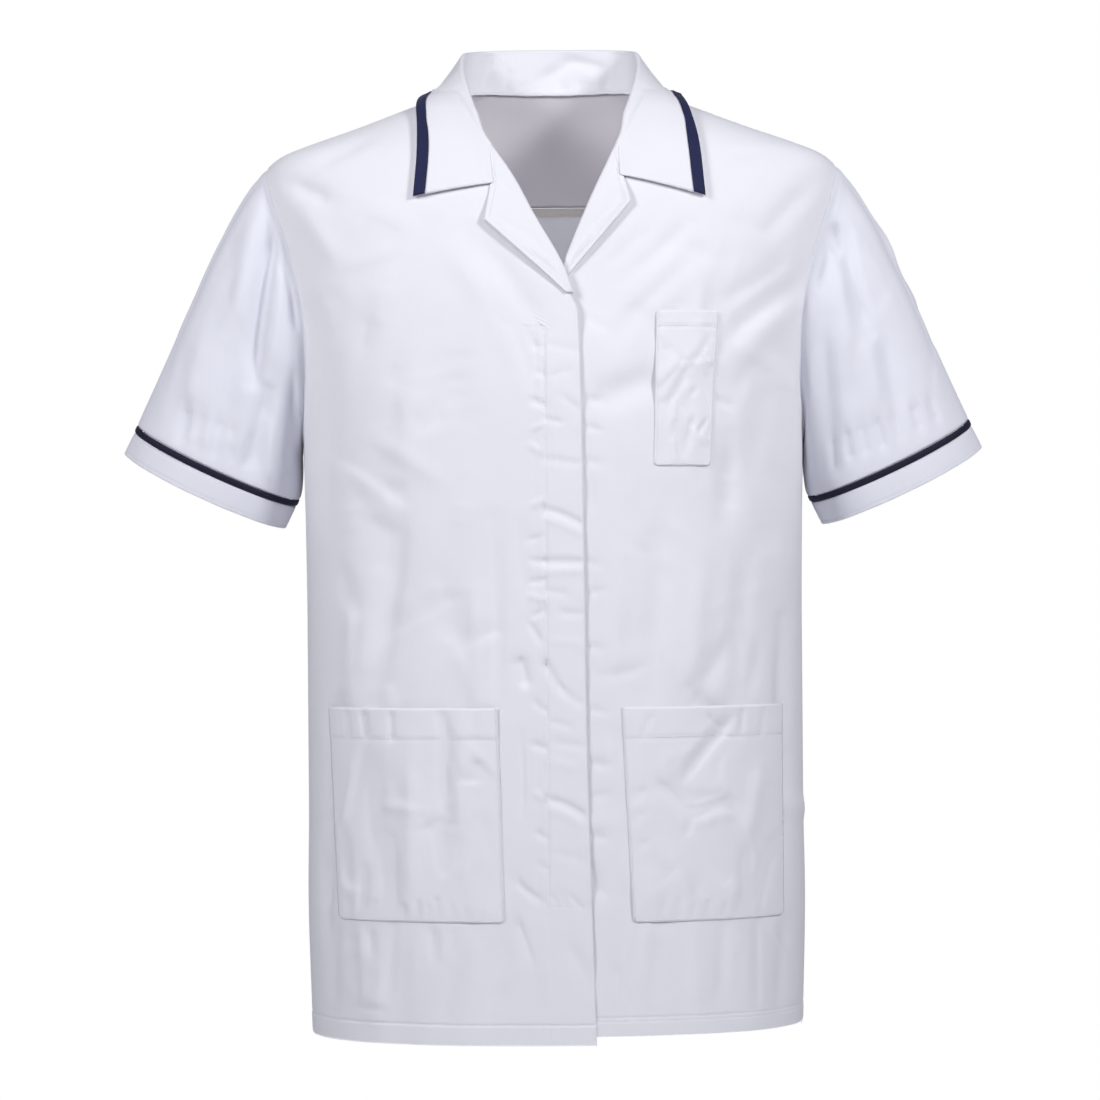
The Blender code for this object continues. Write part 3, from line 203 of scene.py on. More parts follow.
# Left front: chest folds, puckers beside the closing edge, then the hem.
UNDER_CREASES = (
    (205.5, -161, 134, -217, 8.8, -1.5, -3, 0.3, 0.3), (201, -179, 144.5, -236, 8.8, 0.9, -3, 0, 0.3),
    (188, -148.5, 134, -183.5, 7.2, -0.8, 0, 0.3, 0.3), (84.5, -239.5, 25.5, -260, 12.8, -1.9, 2, 0, 0.25),
    (117, -111, 54, -164.5, 7.2, -0.8, 2, 0, 0.3), (108.5, -131, 36.5, -202.5, 8, 0.8, 2, 0, 0.3),
    (80.5, -119, 44.5, -153, 6.4, -0.7, 0, 0, 0.3), (140.5, -290.5, 135.5, -354, 8, -0.9, 0, 0, 0.3),
    (129, -257, 143.5, -265, 3.2, -0.8, 0, 0, 0.2), (172, -242.5, 160, -314, 10.4, -1.1, 0, 0, 0.3),
    (152, -386, 146.5, -489.5, 8.8, -1.1, 0, 0, 0.3), (88.5, -338, 76.5, -489.5, 11.2, -1.1, 0, 0, 0.3),
    (116.5, -386, 108.5, -489.5, 9.6, 0.9, 0, 0, 0.3), (52.5, -386, 44.5, -489.5, 8.8, 0.9, 0, 0, 0.3),
    (184, -434, 180, -657, 6.4, -2, 0, 0, 0.25), (28.5, -193, 41.5, -202.5, 3.2, -1.2, 0, 0, 0.15),
    (26.5, -257, 39, -261.5, 3.2, -1.1, 0, 0, 0.15), (25.5, -279, 36.5, -284, 3.2, -1, 0, 0, 0.15),
    (25.5, -306.5, 37.5, -310.5, 3.2, -1, 0, 0, 0.15), (27, -322, 32, -346, 3.2, -1.1, 0, 0, 0.15),
    (26.5, -386, 35, -391, 3.2, -1, 0, 0, 0.15), (26.5, -413, 38.5, -410, 3.2, -1, 0, 0, 0.15),
    (27, -453.5, 36.5, -457.5, 3.2, -1.1, 0, 0, 0.15), (28.5, -477.5, 68.5, -472, 4.8, -0.5, -2, 0, 0.3),
    (27, -504, 40, -507, 3.2, -1, 0, 0, 0.15), (27, -545.5, 41.5, -550, 4, -1.2, 0, 0, 0.15),
    (28.5, -575, 40, -571, 3.2, -1, 0, 0, 0.15), (27, -603, 38.5, -607.5, 3.2, -1.1, 0, 0, 0.15),
    (27, -626.5, 36.5, -652, 4, -1.7, 0, 0.3, 0.15), (40, -529.5, 46, -569.5, 4, 0.8, 0, 0, 0.2),
    (34.5, -657, 46, -705, 4.8, 0.9, 0, 0, 0.25), (42, -705, 60.5, -748, 4.8, -1.3, 2, 0, 0.25),
    (80.5, -681, 76.5, -743, 6.4, -0.9, 0, 0, 0.3), (108.5, -679.5, 111.5, -746, 7.2, 0.8, 0, 0, 0.3),
    (161, -677.5, 161, -746, 2.8, -1.5, 0, 0.6, 0.2), (169, -681, 186.5, -706.5, 3.2, 1.3, 0, 0, 0.2),
    (184, -681, 178.5, -744.5, 5.6, -1.7, 0, 0, 0.25), (132.5, -681, 129, -736.5, 5.6, -0.9, 0, 0, 0.3),
    (65.5, -671.5, 60.5, -712.5, 4.8, -0.8, 0, 0, 0.3), (212, -83, 172, -123, 8.8, -0.9, 0, 0, 0.3),
    (208, -59, 152, -67, 7.2, -0.7, 0, 0, 0.3), (116.5, -489.5, 140.5, -449.5, 7.2, -0.7, 0, 0, 0.3),
    (156, -497.5, 164, -449.5, 5.6, -0.6, 0, 0, 0.3),
)
POCKET_RIGHT_CREASES = (
    (-87.5, -507, -87.5, -582, 4.8, -1.2, 0, 0.4, 0.25), (-92.5, -598, -89.5, -631.5, 4.4, -1.6, 0, 0, 0.2),
    (-73.5, -507, -76.5, -601, 6.4, 1.1, 0, 0, 0.2), (-131.5, -609, -130, -673, 5.2, -1.8, 0, 0.3, 0.2),
    (-158, -529.5, -173, -595, 5, 0.45, 0, 0, 0.4), (-151.5, -533.5, -165, -598, 5, -0.5, 0, 0, 0.4),
    (-68.5, -532.5, -43, -559.5, 4, 0.6, 0, 0, 0.2), (-67, -544, -44.5, -574, 4.8, -1, 0, 0, 0.2),
    (-170.5, -598, -166, -644, 3.6, -0.9, 0, 0, 0.3), (-153, -631.5, -154.5, -661.5, 4, -0.9, 0, 0, 0.3),
    (-115, -529.5, -116.5, -657, 7.2, 0.9, 0, 0, 0.25), (-59, -593, -43, -633, 5.6, -0.7, 0, 0, 0.2),
    (-166, -507, -165, -526, 2, -1, 0, 0, 0.1), (-152, -507, -150, -526, 2.8, -1.4, 0, 0, 0.1),
    (-130, -507, -130, -528, 2.8, -0.9, 0, 0, 0.1), (-92.5, -507, -86, -526, 4, -1.2, 0, 0, 0.1),
    (-145, -545.5, -142, -617, 8, -0.7, 0, 0, 0.25), (-166.5, -657, -166, -673.5, 1.9, -1, 0, 0, 0.05),
    (-155.5, -654, -156, -673.5, 2.1, -1.3, 0, 0, 0.05), (-145, -658.5, -143.5, -674.5, 1.8, -1, 0, 0, 0.05),
    (-138.5, -657, -138, -674.5, 1.9, -1.2, 0, 0, 0.05), (-130, -654, -129, -674.5, 2.4, -1.4, 0, 0, 0.05),
    (-122, -660, -121, -675.5, 1.9, -0.9, 0, 0, 0.05), (-111, -657, -111, -675.5, 2.1, -1.1, 0, 0, 0.05),
    (-101, -661, -102, -676, 1.9, -1, 0, 0, 0.05), (-95.5, -655.5, -94, -676, 2.2, -1.2, 0, 0, 0.05),
    (-83.5, -661, -84.5, -676, 1.9, -0.9, 0, 0, 0.05), (-73.5, -662.5, -72.5, -676, 1.9, -0.8, 0, 0, 0.05),
    (-60.5, -663.5, -61.5, -676, 1.9, -0.7, 0, 0, 0.05),
)
POCKET_LEFT_CREASES = (
    (138.5, -513.5, 103, -559.5, 4.6, -1.1, 0, 0.4, 0.2), (129, -509.5, 94, -555, 5.6, 0.4, 0, 0, 0.2),
    (83, -563, 102, -587, 3.6, -1.6, 0, 0.3, 0.2), (100.5, -587, 116.5, -587, 3.2, -1.5, 0, 0, 0.1),
    (110, -588.5, 142.5, -579, 3.6, -1.0, 2, 0.4, 0.2), (108.5, -598, 144.5, -590, 4.8, 0.5, 2, 0, 0.2),
    (107, -587, 103.5, -603, 3.2, -1.5, 0, 0, 0.15), (151.5, -623.5, 150, -666.5, 4.8, -1.3, 0, 0, 0.2),
    (177, -610.5, 158, -657, 5.6, -1.4, 0, 0, 0.2), (164, -553.5, 152, -609, 7.2, 0.9, 0, 0, 0.25),
    (68.5, -569.5, 62, -575.5, 3.2, -1, 0, 0, 0.1), (68.5, -587, 60.5, -595, 3.2, -0.9, 0, 0, 0.1),
    (70, -610.5, 62, -617, 3.2, -0.9, 0, 0, 0.1), (88.5, -617, 108.5, -657, 7.2, 0.8, 0, 0, 0.25),
    (121, -510.5, 134, -526, 2.4, -0.9, 0, 0, 0.1), (75, -510.5, 68.5, -526, 2.4, -0.7, 0, 0, 0.1),
    (148, -507, 146.5, -526, 2.4, -0.7, 0, 0, 0.1), (166, -507, 164, -526, 2.1, -0.7, 0, 0, 0.1),
    (72.5, -658.5, 73.5, -672, 1.9, -0.8, 0, 0, 0.05), (84.5, -661, 84.5, -673, 1.9, -0.8, 0, 0, 0.05),
    (97, -657, 98, -673, 2.1, -0.9, 0, 0, 0.05), (108.5, -661.5, 108.5, -673, 1.8, -0.7, 0, 0, 0.05),
    (121, -659.5, 120.5, -672, 2.1, -0.9, 0, 0, 0.05), (134, -661, 134, -671.5, 1.9, -0.7, 0, 0, 0.05),
    (150, -655.5, 150, -670.5, 2.4, -1, 0, 0, 0.05), (164, -657, 162.5, -669.5, 2.1, -0.8, 0, 0, 0.05),
)
PEN_CREASES = (
    (124.5, -210.5, 87.5, -269.5, 3.6, -0.5, 0, 0.4, 0.2), (119.5, -207.5, 81.5, -265, 4, 0.5, 0, 0, 0.2),
    (111, -274.5, 103.5, -303, 2.8, -0.7, 0, 0, 0.2), (121, -242.5, 108.5, -257, 2.8, -0.5, 0, 0, 0.2),
    (122.5, -274.5, 115, -285.5, 2.4, -0.8, 0, 0, 0.2), (86, -261.5, 83, -274.5, 2.8, -0.9, 0, 0, 0.2),
    (94, -290.5, 97, -308, 2.4, 0.7, 0, 0, 0.1),
)
SLEEVE_RIGHT_CREASES = (
    (-224, -103, -243, -238.5, 6.4, -4.2, -2, 0.3, 0.2), (-216, -137.5, -228, -236, 8, 2.2, 0, 0, 0.25),
    (-212, -135.5, -202.5, -202.5, 5.6, -3.6, -3, 0, 0.2), (-237.5, -99, -260, -202.5, 11.2, 2, 0, 0, 0.25),
    (-254, -179, -272.5, -282.5, 9.6, -1.6, 2, 0, 0.3), (-232.5, -246.5, -245.5, -314, 6.4, -1.8, 0, 0, 0.25),
    (-298, -258.5, -304.5, -290.5, 5.6, -1.3, 0, 0, 0.2), (-285.5, -261.5, -291.5, -296.5, 4.8, -1, 0, 0, 0.2),
    (-271, -268, -277.5, -303, 4.8, -1.3, 0, 0, 0.2), (-260, -274.5, -264.5, -308, 4, -0.9, 0, 0, 0.2),
    (-245.5, -282.5, -252, -312.5, 4, -1.2, 0, 0, 0.2), (-210.5, -234.5, -216, -314, 7.2, -2.4, 0, 0, 0.25),
    (-230.5, -274.5, -232.5, -324, 4.8, 1.2, 0, 0, 0.25), (-217.5, -134, -209.5, -143.5, 2.4, -1.8, 0, 0, 0.1),
    (-282, -202.5, -298, -258.5, 9.6, 1, 0, 0, 0.3),
)
SLEEVE_LEFT_CREASES = (
    (221.5, -110, 207, -167.5, 6.4, -4, 3, 0, 0.15), (231, -120, 232, -134, 5.6, -3, 0, 0, 0),
    (240.5, -124.5, 258, -202.5, 6.4, -2.4, -3, 0.3, 0.25), (232.5, -139, 237.5, -234.5, 10.4, 2, 0, 0, 0.3),
    (221.5, -194.5, 229.5, -314, 9.6, -2.6, -2, 0, 0.25), (209, -210.5, 210.5, -314, 6.4, 1.4, 0, 0, 0.3),
    (253.5, -202.5, 264.5, -274.5, 8, 1.2, 0, 0, 0.3), (268, -202.5, 283.5, -274.5, 7.2, -1.6, 0, 0, 0.3),
    (238.5, -282.5, 242.5, -308, 4, -1.4, 0, 0, 0.2), (250.5, -277.5, 255, -303, 4, -1.1, 0, 0, 0.2),
    (263, -273, 269.5, -298.5, 4, -1.4, 0, 0, 0.2), (277.5, -268, 283.5, -292, 4, -1, 0, 0, 0.2),
    (293.5, -261.5, 299.5, -284, 4, -1.3, 0, 0, 0.2), (307.5, -255.5, 314, -276, 4, -0.9, 0, 0, 0.2),
    (226.5, -290.5, 229.5, -316, 4, -1.2, 0, 0, 0.2),
)


class Side(Enum):
    """The wearer's side that a piece is on."""
    RIGHT = -1
    LEFT = 1


class Layer(Enum):
    """Which layer of cloth a panel belongs to."""
    OVER = "over"
    UNDER = "under"
    BACK = "back"


class Held(Enum):
    """How a sheet of cloth is held."""
    HUNG = "hung"
    FOLDED = "folded"


# ---------------------------------------------------------------- curves
def smooth_lookup(table: tuple, at: np.ndarray, index: int = 1) -> np.ndarray:
    """Read a table's column at given first-column values, with a monotone cubic.

    Args:
        table: Rows of numbers, the first column rising or falling.
        at: Values of the first column.
        index: Column to read.

    Returns:
        The values read.
    """
    knots = np.array([row[0] for row in table], dtype=float)
    values = np.array([row[index] for row in table], dtype=float)
    if knots[0] > knots[-1]:
        knots, values = knots[::-1], values[::-1]
    steps = np.diff(knots)
    slopes = np.diff(values) / steps
    tangents = np.empty_like(values)
    tangents[0], tangents[-1] = slopes[0], slopes[-1]
    same_way = slopes[:-1] * slopes[1:] > 0.0
    total = np.where(same_way, slopes[:-1] + slopes[1:], 1.0)
    tangents[1:-1] = np.where(same_way, 2.0 * slopes[:-1] * slopes[1:] / total, 0.0)
    at = np.clip(np.asarray(at, dtype=float), knots[0], knots[-1])
    low = np.clip(np.searchsorted(knots, at) - 1, 0, len(steps) - 1)
    span = steps[low]
    t = (at - knots[low]) / span
    return (values[low] * (1 + 2 * t) * (1 - t) ** 2 + values[low + 1] * t * t * (3 - 2 * t)
            + span * (tangents[low] * t * (1 - t) ** 2 + tangents[low + 1] * t * t * (t - 1)))


def smooth_step(low: float, high: float, at: np.ndarray) -> np.ndarray:
    """Rise from 0 to 1 between two values with level ends."""
    t = np.clip((at - low) / (high - low), 0.0, 1.0)
    return t * t * (3.0 - 2.0 * t)


def bump(distance: np.ndarray, width: float) -> np.ndarray:
    """Return a soft hump of height 1 round a distance of zero."""
    return np.exp(-(distance / width) ** 2)


def through_points(points: np.ndarray, at: np.ndarray) -> np.ndarray:
    """Read a smooth curve through points at a fraction of its length in spans.

    Args:
        points: The points, one a row.
        at: Places from 0 to 1.

    Returns:
        The curve's points.
    """
    points = np.asarray(points, dtype=float)
    spans = len(points) - 1
    padded = np.vstack([2 * points[0] - points[1], points, 2 * points[-1] - points[-2]])
    place = np.clip(np.asarray(at, dtype=float), 0.0, 1.0) * spans
    low = np.minimum(place.astype(int), spans - 1)
    t = (place - low)[..., None]
    a, b, c, d = (padded[low + k] for k in range(4))
    return 0.5 * (2 * b + (c - a) * t + (2 * a - 5 * b + 4 * c - d) * t * t
                  + (3 * b - a - 3 * c + d) * t ** 3)


def unit(vectors: np.ndarray) -> np.ndarray:
    """Return vectors scaled to length one."""
    return vectors / np.maximum(np.linalg.norm(vectors, axis=-1, keepdims=True), 1e-12)


def dot(first: np.ndarray, second: np.ndarray) -> np.ndarray:
    """Return the dot products of two arrays of vectors, with the last axis kept."""
    return np.sum(first * second, axis=-1, keepdims=True)


def run_length(points: np.ndarray, axis: int) -> np.ndarray:
    """Return the length along a grid from its first row or column."""
    steps = np.linalg.norm(np.diff(points, axis=axis), axis=-1)
    start = np.zeros_like(np.take(points[..., 0], [0], axis=axis))
    return np.concatenate([start, np.cumsum(steps, axis=axis)], axis=axis)


def edge_distance(points: np.ndarray, axis: int) -> np.ndarray:
    """Return the length along a grid to the nearer of its two ends on an axis."""
    length = run_length(points, axis)
    total = np.take(length, [-1], axis=axis)
    return np.minimum(length, total - length)


def grid_normals(points: np.ndarray, tube: bool = False) -> np.ndarray:
    """Return unit normals of a grid of points from its own differences.

    Args:
        points: A grid of points, rows by columns.
        tube: Whether the last column joins the first.

    Returns:
        A grid of unit vectors.
    """
    if tube:
        across = np.roll(points, -1, axis=1) - np.roll(points, 1, axis=1)
    else:
        across = np.gradient(points, axis=1)
    return unit(np.cross(across, np.gradient(points, axis=0)))


def facing(normals: np.ndarray, ways: np.ndarray) -> np.ndarray:
    """Turn normals so that each points the same way as another vector."""
    return np.where(dot(normals, ways) < 0.0, -normals, normals)


def soften(values: np.ndarray, rounds: int) -> np.ndarray:
    """Blur a grid of numbers a few times over its neighbours."""
    for _ in range(rounds):
        wide = np.pad(values, 1, mode="edge")
        values = (wide[:-2, 1:-1] + wide[2:, 1:-1] + wide[1:-1, :-2] + wide[1:-1, 2:]
                  + 2.0 * wide[1:-1, 1:-1]) / 6.0
    return values


def spread(values: np.ndarray, rounds: int) -> np.ndarray:
    """Widen the high places of a grid of numbers by a cell for each round."""
    for _ in range(rounds):
        wide = np.pad(values, 1, mode="edge")
        shifts = [wide[i:i + values.shape[0], j:j + values.shape[1]]
                  for i in range(3) for j in range(3)]
        values = np.max(shifts, axis=0)
    return values


# ---------------------------------------------------------------- creases
@dataclass(frozen=True)
class Crease:
    """One ridge or trough of cloth along a slightly bent line, in metres."""
    start: tuple[float, float]
    end: tuple[float, float]
    width: float
    height: float
    bend: float = 0.0
    skew: float = 0.0
    taper: float = 0.25

    def relief(self, x: np.ndarray, z: np.ndarray) -> np.ndarray:
        """Return the height of the crease at places on the cloth.

        Args:
            x: First coordinate of the places.
            z: Second coordinate of the places.

        Returns:
            The heights, below zero in a trough.
        """
        run, rise = self.end[0] - self.start[0], self.end[1] - self.start[1]
        length = math.hypot(run, rise)
        t = ((x - self.start[0]) * run + (z - self.start[1]) * rise) / length ** 2
        along = np.clip(t, 0.0, 1.0)
        across = ((x - self.start[0]) * rise - (z - self.start[1]) * run) / length
        across = across + self.bend * 4.0 * along * (1.0 - along)
        past = (t - along) * length
        width = self.width * (1.0 + self.skew * np.tanh(across / self.width))
        shape = np.exp(-(across / width) ** 2 - (past / self.width) ** 2)
        if self.taper <= 0.0:
            return self.height * shape
        ends = smooth_step(-0.05, self.taper, along) * smooth_step(-0.05, self.taper, 1.0 - along)
        return self.height * shape * (0.35 + 0.65 * ends)


def read_creases(table: tuple) -> list[Crease]:
    """Turn a table's rows, in millimetres, into creases; broad ones stand out more."""
    made = []
    for x0, z0, x1, z1, width, height, bend, skew, taper in table:
        gain = 1.75 + 0.45 * float(smooth_step(2.5, 7.5, np.array(width)))
        made.append(Crease((x0 * MM, z0 * MM), (x1 * MM, z1 * MM), width * MM, gain * height * MM,
                           bend * MM, skew, taper))
    return made


@dataclass(frozen=True)
class Rumple:
    """A scatter of small creases, for cloth that nothing holds flat."""
    seed: int
    count: int
    low: tuple[float, float]
    high: tuple[float, float]
    length: tuple[float, float] = (0.018, 0.070)
    width: tuple[float, float] = (0.0035, 0.0100)
    height: float = 0.0006
    lean: float = 0.9

    def creases(self) -> list[Crease]:
        """Return the creases of the scatter, the same ones on every run."""
        chance = np.random.default_rng(self.seed)
        made = []
        for _ in range(self.count):
            x, z = chance.uniform(self.low, self.high)
            turn = chance.normal(0.0, self.lean)
            length = chance.uniform(*self.length)
            way = (math.sin(turn) * length, -math.cos(turn) * length)
            made.append(Crease((x, z), (x + way[0], z + way[1]), chance.uniform(*self.width),
                               chance.normal(0.0, self.height), chance.uniform(-0.003, 0.003),
                               chance.uniform(-0.3, 0.5)))
        return made


def total_relief(creases: list[Crease], x: np.ndarray, z: np.ndarray) -> np.ndarray:
    """Return the summed height of creases at places on the cloth."""
    total = np.zeros(np.broadcast(x, z).shape)
    for crease in creases:
        total += crease.relief(x, z)
    return total


# ---------------------------------------------------------------- body form
class BodyForm:
    """The filled-out body that the panels follow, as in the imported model."""

    @staticmethod
    def section_point(theta: np.ndarray, z: np.ndarray) -> np.ndarray:
        """Return body points: theta runs from the left side (0) back (90) to the right (180)."""
        power = 2.0 / SECTION_POWER
        width = smooth_lookup(WIDTH, z)
        sine, cosine = np.sin(theta), np.cos(theta)
        depth = np.where(sine < 0.0, smooth_lookup(DEPTH, z, 1), smooth_lookup(DEPTH, z, 2))
        x = width * np.sign(cosine) * np.abs(cosine) ** power
        y = depth * np.sign(sine) * np.abs(sine) ** power
        rise = NECK_RISE * smooth_step(0.0, 1.0, sine) * (1.0 - smooth_step(0.0, NECK_FADE, -z))
        return np.stack(np.broadcast_arrays(x, y, z + rise), axis=-1)

    @staticmethod
    def theta_at(x: np.ndarray, z: np.ndarray, face: int) -> np.ndarray:
        """Return the section angle of a given x on the front (-1) or the back (+1)."""
        share = x / smooth_lookup(WIDTH, z)
        cosine = np.sign(share) * np.abs(share) ** (SECTION_POWER / 2.0)
        return face * np.arccos(np.clip(cosine, -1.0, 1.0))

    @classmethod
    def normal(cls, theta: np.ndarray, z: np.ndarray, step: float = 2e-4) -> np.ndarray:
        """Return the body's unit normals by central differences."""
        across = cls.section_point(theta + step, z) - cls.section_point(theta - step, z)
        along = cls.section_point(theta, z + step) - cls.section_point(theta, z - step)
        return unit(np.cross(across, along))

    @staticmethod
    def soft_folds(x: np.ndarray, z: np.ndarray, folds: tuple) -> np.ndarray:
        """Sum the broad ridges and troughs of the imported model."""
        total = np.zeros(np.broadcast(x, z).shape)
        for x0, z0, x1, z1, width, height in folds:
            total += Crease((x0, z0), (x1, z1), width, height, taper=0.35).relief(x, z)
        return total

    @classmethod
    def offset(cls, points: np.ndarray, layer: Layer) -> np.ndarray:
        """Return how far a layer stands out from the plain body surface.

        Args:
            points: Points on the plain body.
            layer: The layer of cloth.

        Returns:
            The offsets, below zero inside the body.
        """
        x, y, z = points[..., 0], points[..., 1], points[..., 2]
        inset = smooth_step(0.0, SEAM_CALM, np.abs(y))
        if layer is Layer.BACK:
            return inset * cls.soft_folds(x, z, BACK_FOLDS)
        offset = 0.7 * inset * cls.soft_folds(x, z, FRONT_FOLDS)
        if layer is Layer.OVER:
            below_neck = smooth_step(*OVER_RAISE_ZONE, -z)
            return offset + OVER_RAISE * below_neck * smooth_step(OVER_RAISE_START, 0.0, x)
        crossing = CROSSING_DIP * bump(z - CROSSING_Z, CROSSING_SPREAD)
        hidden = 1.0 - smooth_step(*UNDER_DIP_REACH, x)
        dip = (UNDER_DIP * smooth_step(*UNDER_DIP_ZONE, -z) + crossing) * hidden
        closed = 0.0017 * (1.0 - smooth_step(0.0235, 0.0380, x))
        low = smooth_step(0.185, 0.220, -z)
        return offset - dip * (1.0 - low) - closed * low

    @classmethod
    def surface(cls, theta: np.ndarray, z: np.ndarray, layer: Layer) -> tuple:
        """Return a layer's points with the body's own normals there."""
        base, normal = cls.section_point(theta, z), cls.normal(theta, z)
        return base + normal * cls.offset(base, layer)[..., None], normal

    @staticmethod
    def armhole_z(angle: np.ndarray) -> np.ndarray:
        """Return the height at an angle down the armhole, 0 at the tip."""
        return 0.5 * (TIP_Z + UNDERARM_Z) + 0.5 * (TIP_Z - UNDERARM_Z) * np.cos(angle)

    @staticmethod
    def armhole_theta(z: np.ndarray, face: int) -> np.ndarray:
        """Return the section angle of the armhole's edge on the wearer's left."""
        middle, reach = 0.5 * (TIP_Z + UNDERARM_Z), 0.5 * (TIP_Z - UNDERARM_Z)
        inside = np.sqrt(np.clip(1.0 - ((z - middle) / reach) ** 2, 0.0, 1.0))
        depth = ARMHOLE_DEPTH_FRONT if face < 0 else ARMHOLE_DEPTH_BACK
        body_depth = smooth_lookup(DEPTH, z, 1 if face < 0 else 2)
        return face * np.arcsin((depth * inside / body_depth) ** (SECTION_POWER / 2.0))

    @classmethod
    def outer_theta(cls, z: np.ndarray, face: int) -> np.ndarray:
        """Return where a left-hand panel ends: shoulder seam, armhole or side seam."""
        depth = smooth_lookup(DEPTH, z, 1)
        gap = np.arcsin((0.5 * SEAM_GAP / depth) ** (SECTION_POWER / 2.0))
        return cls.armhole_theta(z, face) + face * gap

    @staticmethod
    def clearance(points: np.ndarray) -> tuple[np.ndarray, np.ndarray]:
        """Return the distance of points outside the plain body, and the way out."""
        def excess(at: np.ndarray) -> np.ndarray:
            """Return how far outside the body points are, as a share of its size."""
            z = at[..., 2]
            width = np.maximum(smooth_lookup(WIDTH, z) - 4.0 * np.maximum(z, 0.0), 0.005)
            front, back = smooth_lookup(DEPTH, z, 1), smooth_lookup(DEPTH, z, 2)
            depth = np.where(at[..., 1] < 0.0, front, back)
            return ((np.abs(at[..., 0]) / width) ** SECTION_POWER
                    + (np.abs(at[..., 1]) / depth) ** SECTION_POWER) ** (1.0 / SECTION_POWER) - 1.0
        step = 2e-4
        slopes = [(excess(points + step * way) - excess(points - step * way)) / (2.0 * step)
                  for way in np.eye(3)]
        gradient = np.stack(slopes, axis=-1)
        size = np.linalg.norm(gradient, axis=-1)
        return excess(points) / size, gradient / size[..., None]


# ---------------------------------------------------------------- cloth as grids
@dataclass
class Face:
    """The outer face of a piece of cloth: a grid of points with normals."""
    points: np.ndarray
    normals: np.ndarray
    tube: bool = False

    def line(self, rows: np.ndarray, columns: np.ndarray, lift: float = 0.0) -> np.ndarray:
        """Return points of the face at fractional rows and columns, raised by a lift."""
        high_row, high_column = self.points.shape[0] - 1, self.points.shape[1] - 1
        rows, columns = np.broadcast_arrays(np.clip(rows, 0, high_row), np.clip(columns, 0, high_column))
        i = np.minimum(rows.astype(int), high_row - 1)
        j = np.minimum(columns.astype(int), high_column - 1)
        s, t = (rows - i)[..., None], (columns - j)[..., None]
        at = self.points + self.normals * lift
        return ((at[i, j] * (1 - t) + at[i, j + 1] * t) * (1 - s)
                + (at[i + 1, j] * (1 - t) + at[i + 1, j + 1] * t) * s)

    def place(self, axis: int, distance: float, from_end: bool = False) -> np.ndarray:
        """Return the fractional index at a distance from an edge, for each line of the grid.

        Args:
            axis: 1 to count along rows, 0 to count down columns.
            distance: Distance from the edge.
            from_end: Whether to count from the last column or row.

        Returns:
            One index for each row (axis 1) or each column (axis 0).
        """
        length = run_length(self.points, axis)
        lines = length if axis == 1 else length.T
        wanted = [line[-1] - distance if from_end else distance for line in lines]
        return np.array([np.interp(at, line, np.arange(len(line))) for at, line in zip(wanted, lines)])

    def raised(self, height: np.ndarray) -> "Face":
        """Return the face moved out along its normals, with new normals."""
        points = self.points + self.normals * height[..., None]
        return Face(points, facing(grid_normals(points, self.tube), self.normals), self.tube)


def facet_tree(points: np.ndarray) -> BVHTree:
    """Return a search tree over the triangles of a grid of points."""
    rows, columns = points.shape[:2]
    index = np.arange(rows * columns).reshape(rows, columns)
    a, b = index[:-1, :-1].ravel(), index[:-1, 1:].ravel()
    c, d = index[1:, 1:].ravel(), index[1:, :-1].ravel()
    facets = np.vstack([np.stack([a, b, c], axis=1), np.stack([a, c, d], axis=1)])
    return BVHTree.FromPolygons(points.reshape(-1, 3).tolist(), facets.tolist())


def settle(face: Face, thickness: float, neighbours: list[np.ndarray], gap: float,
           free: np.ndarray | None = None, ways: np.ndarray | None = None) -> Face:
    """Raise a face until its underside clears the cloth that it lies on.

    Args:
        face: The face to move.
        thickness: Thickness of its cloth.
        neighbours: Grids of points that lie beneath it.
        gap: Clear distance to leave.
        free: Which points may move; all, if not given.
        ways: Directions of the moves; the normals, if not given.

    Returns:
        The moved face, with new normals where it moved.
    """
    reach, same_side = 0.012, 0.8
    free = np.ones(face.points.shape[:2], dtype=bool) if free is None else free
    ways = face.normals if ways is None else ways
    trees = [facet_tree(grid) for grid in neighbours]
    under = face.points - face.normals * thickness
    spots = np.argwhere(free)
    for _ in range(6):
        rise = np.zeros(free.shape)
        for row, column in spots:
            point = under[row, column]
            for tree in trees:
                spot, _, _, distance = tree.find_nearest(Vector(point), reach)
                if spot is None:
                    continue
                above = float(np.dot(point - np.array(spot), ways[row, column]))
                if distance < gap or abs(above) > same_side * distance:
                    rise[row, column] = max(rise[row, column], gap - above)
        if rise.max() < 5e-5:
            break
        rise = np.maximum(rise, soften(spread(rise, 1), 3)) * free
        under = under + ways * rise[..., None]
    points = under + face.normals * thickness
    fresh = facing(grid_normals(points, face.tube), face.normals)
    return Face(points, np.where(free[..., None], fresh, face.normals), face.tube)


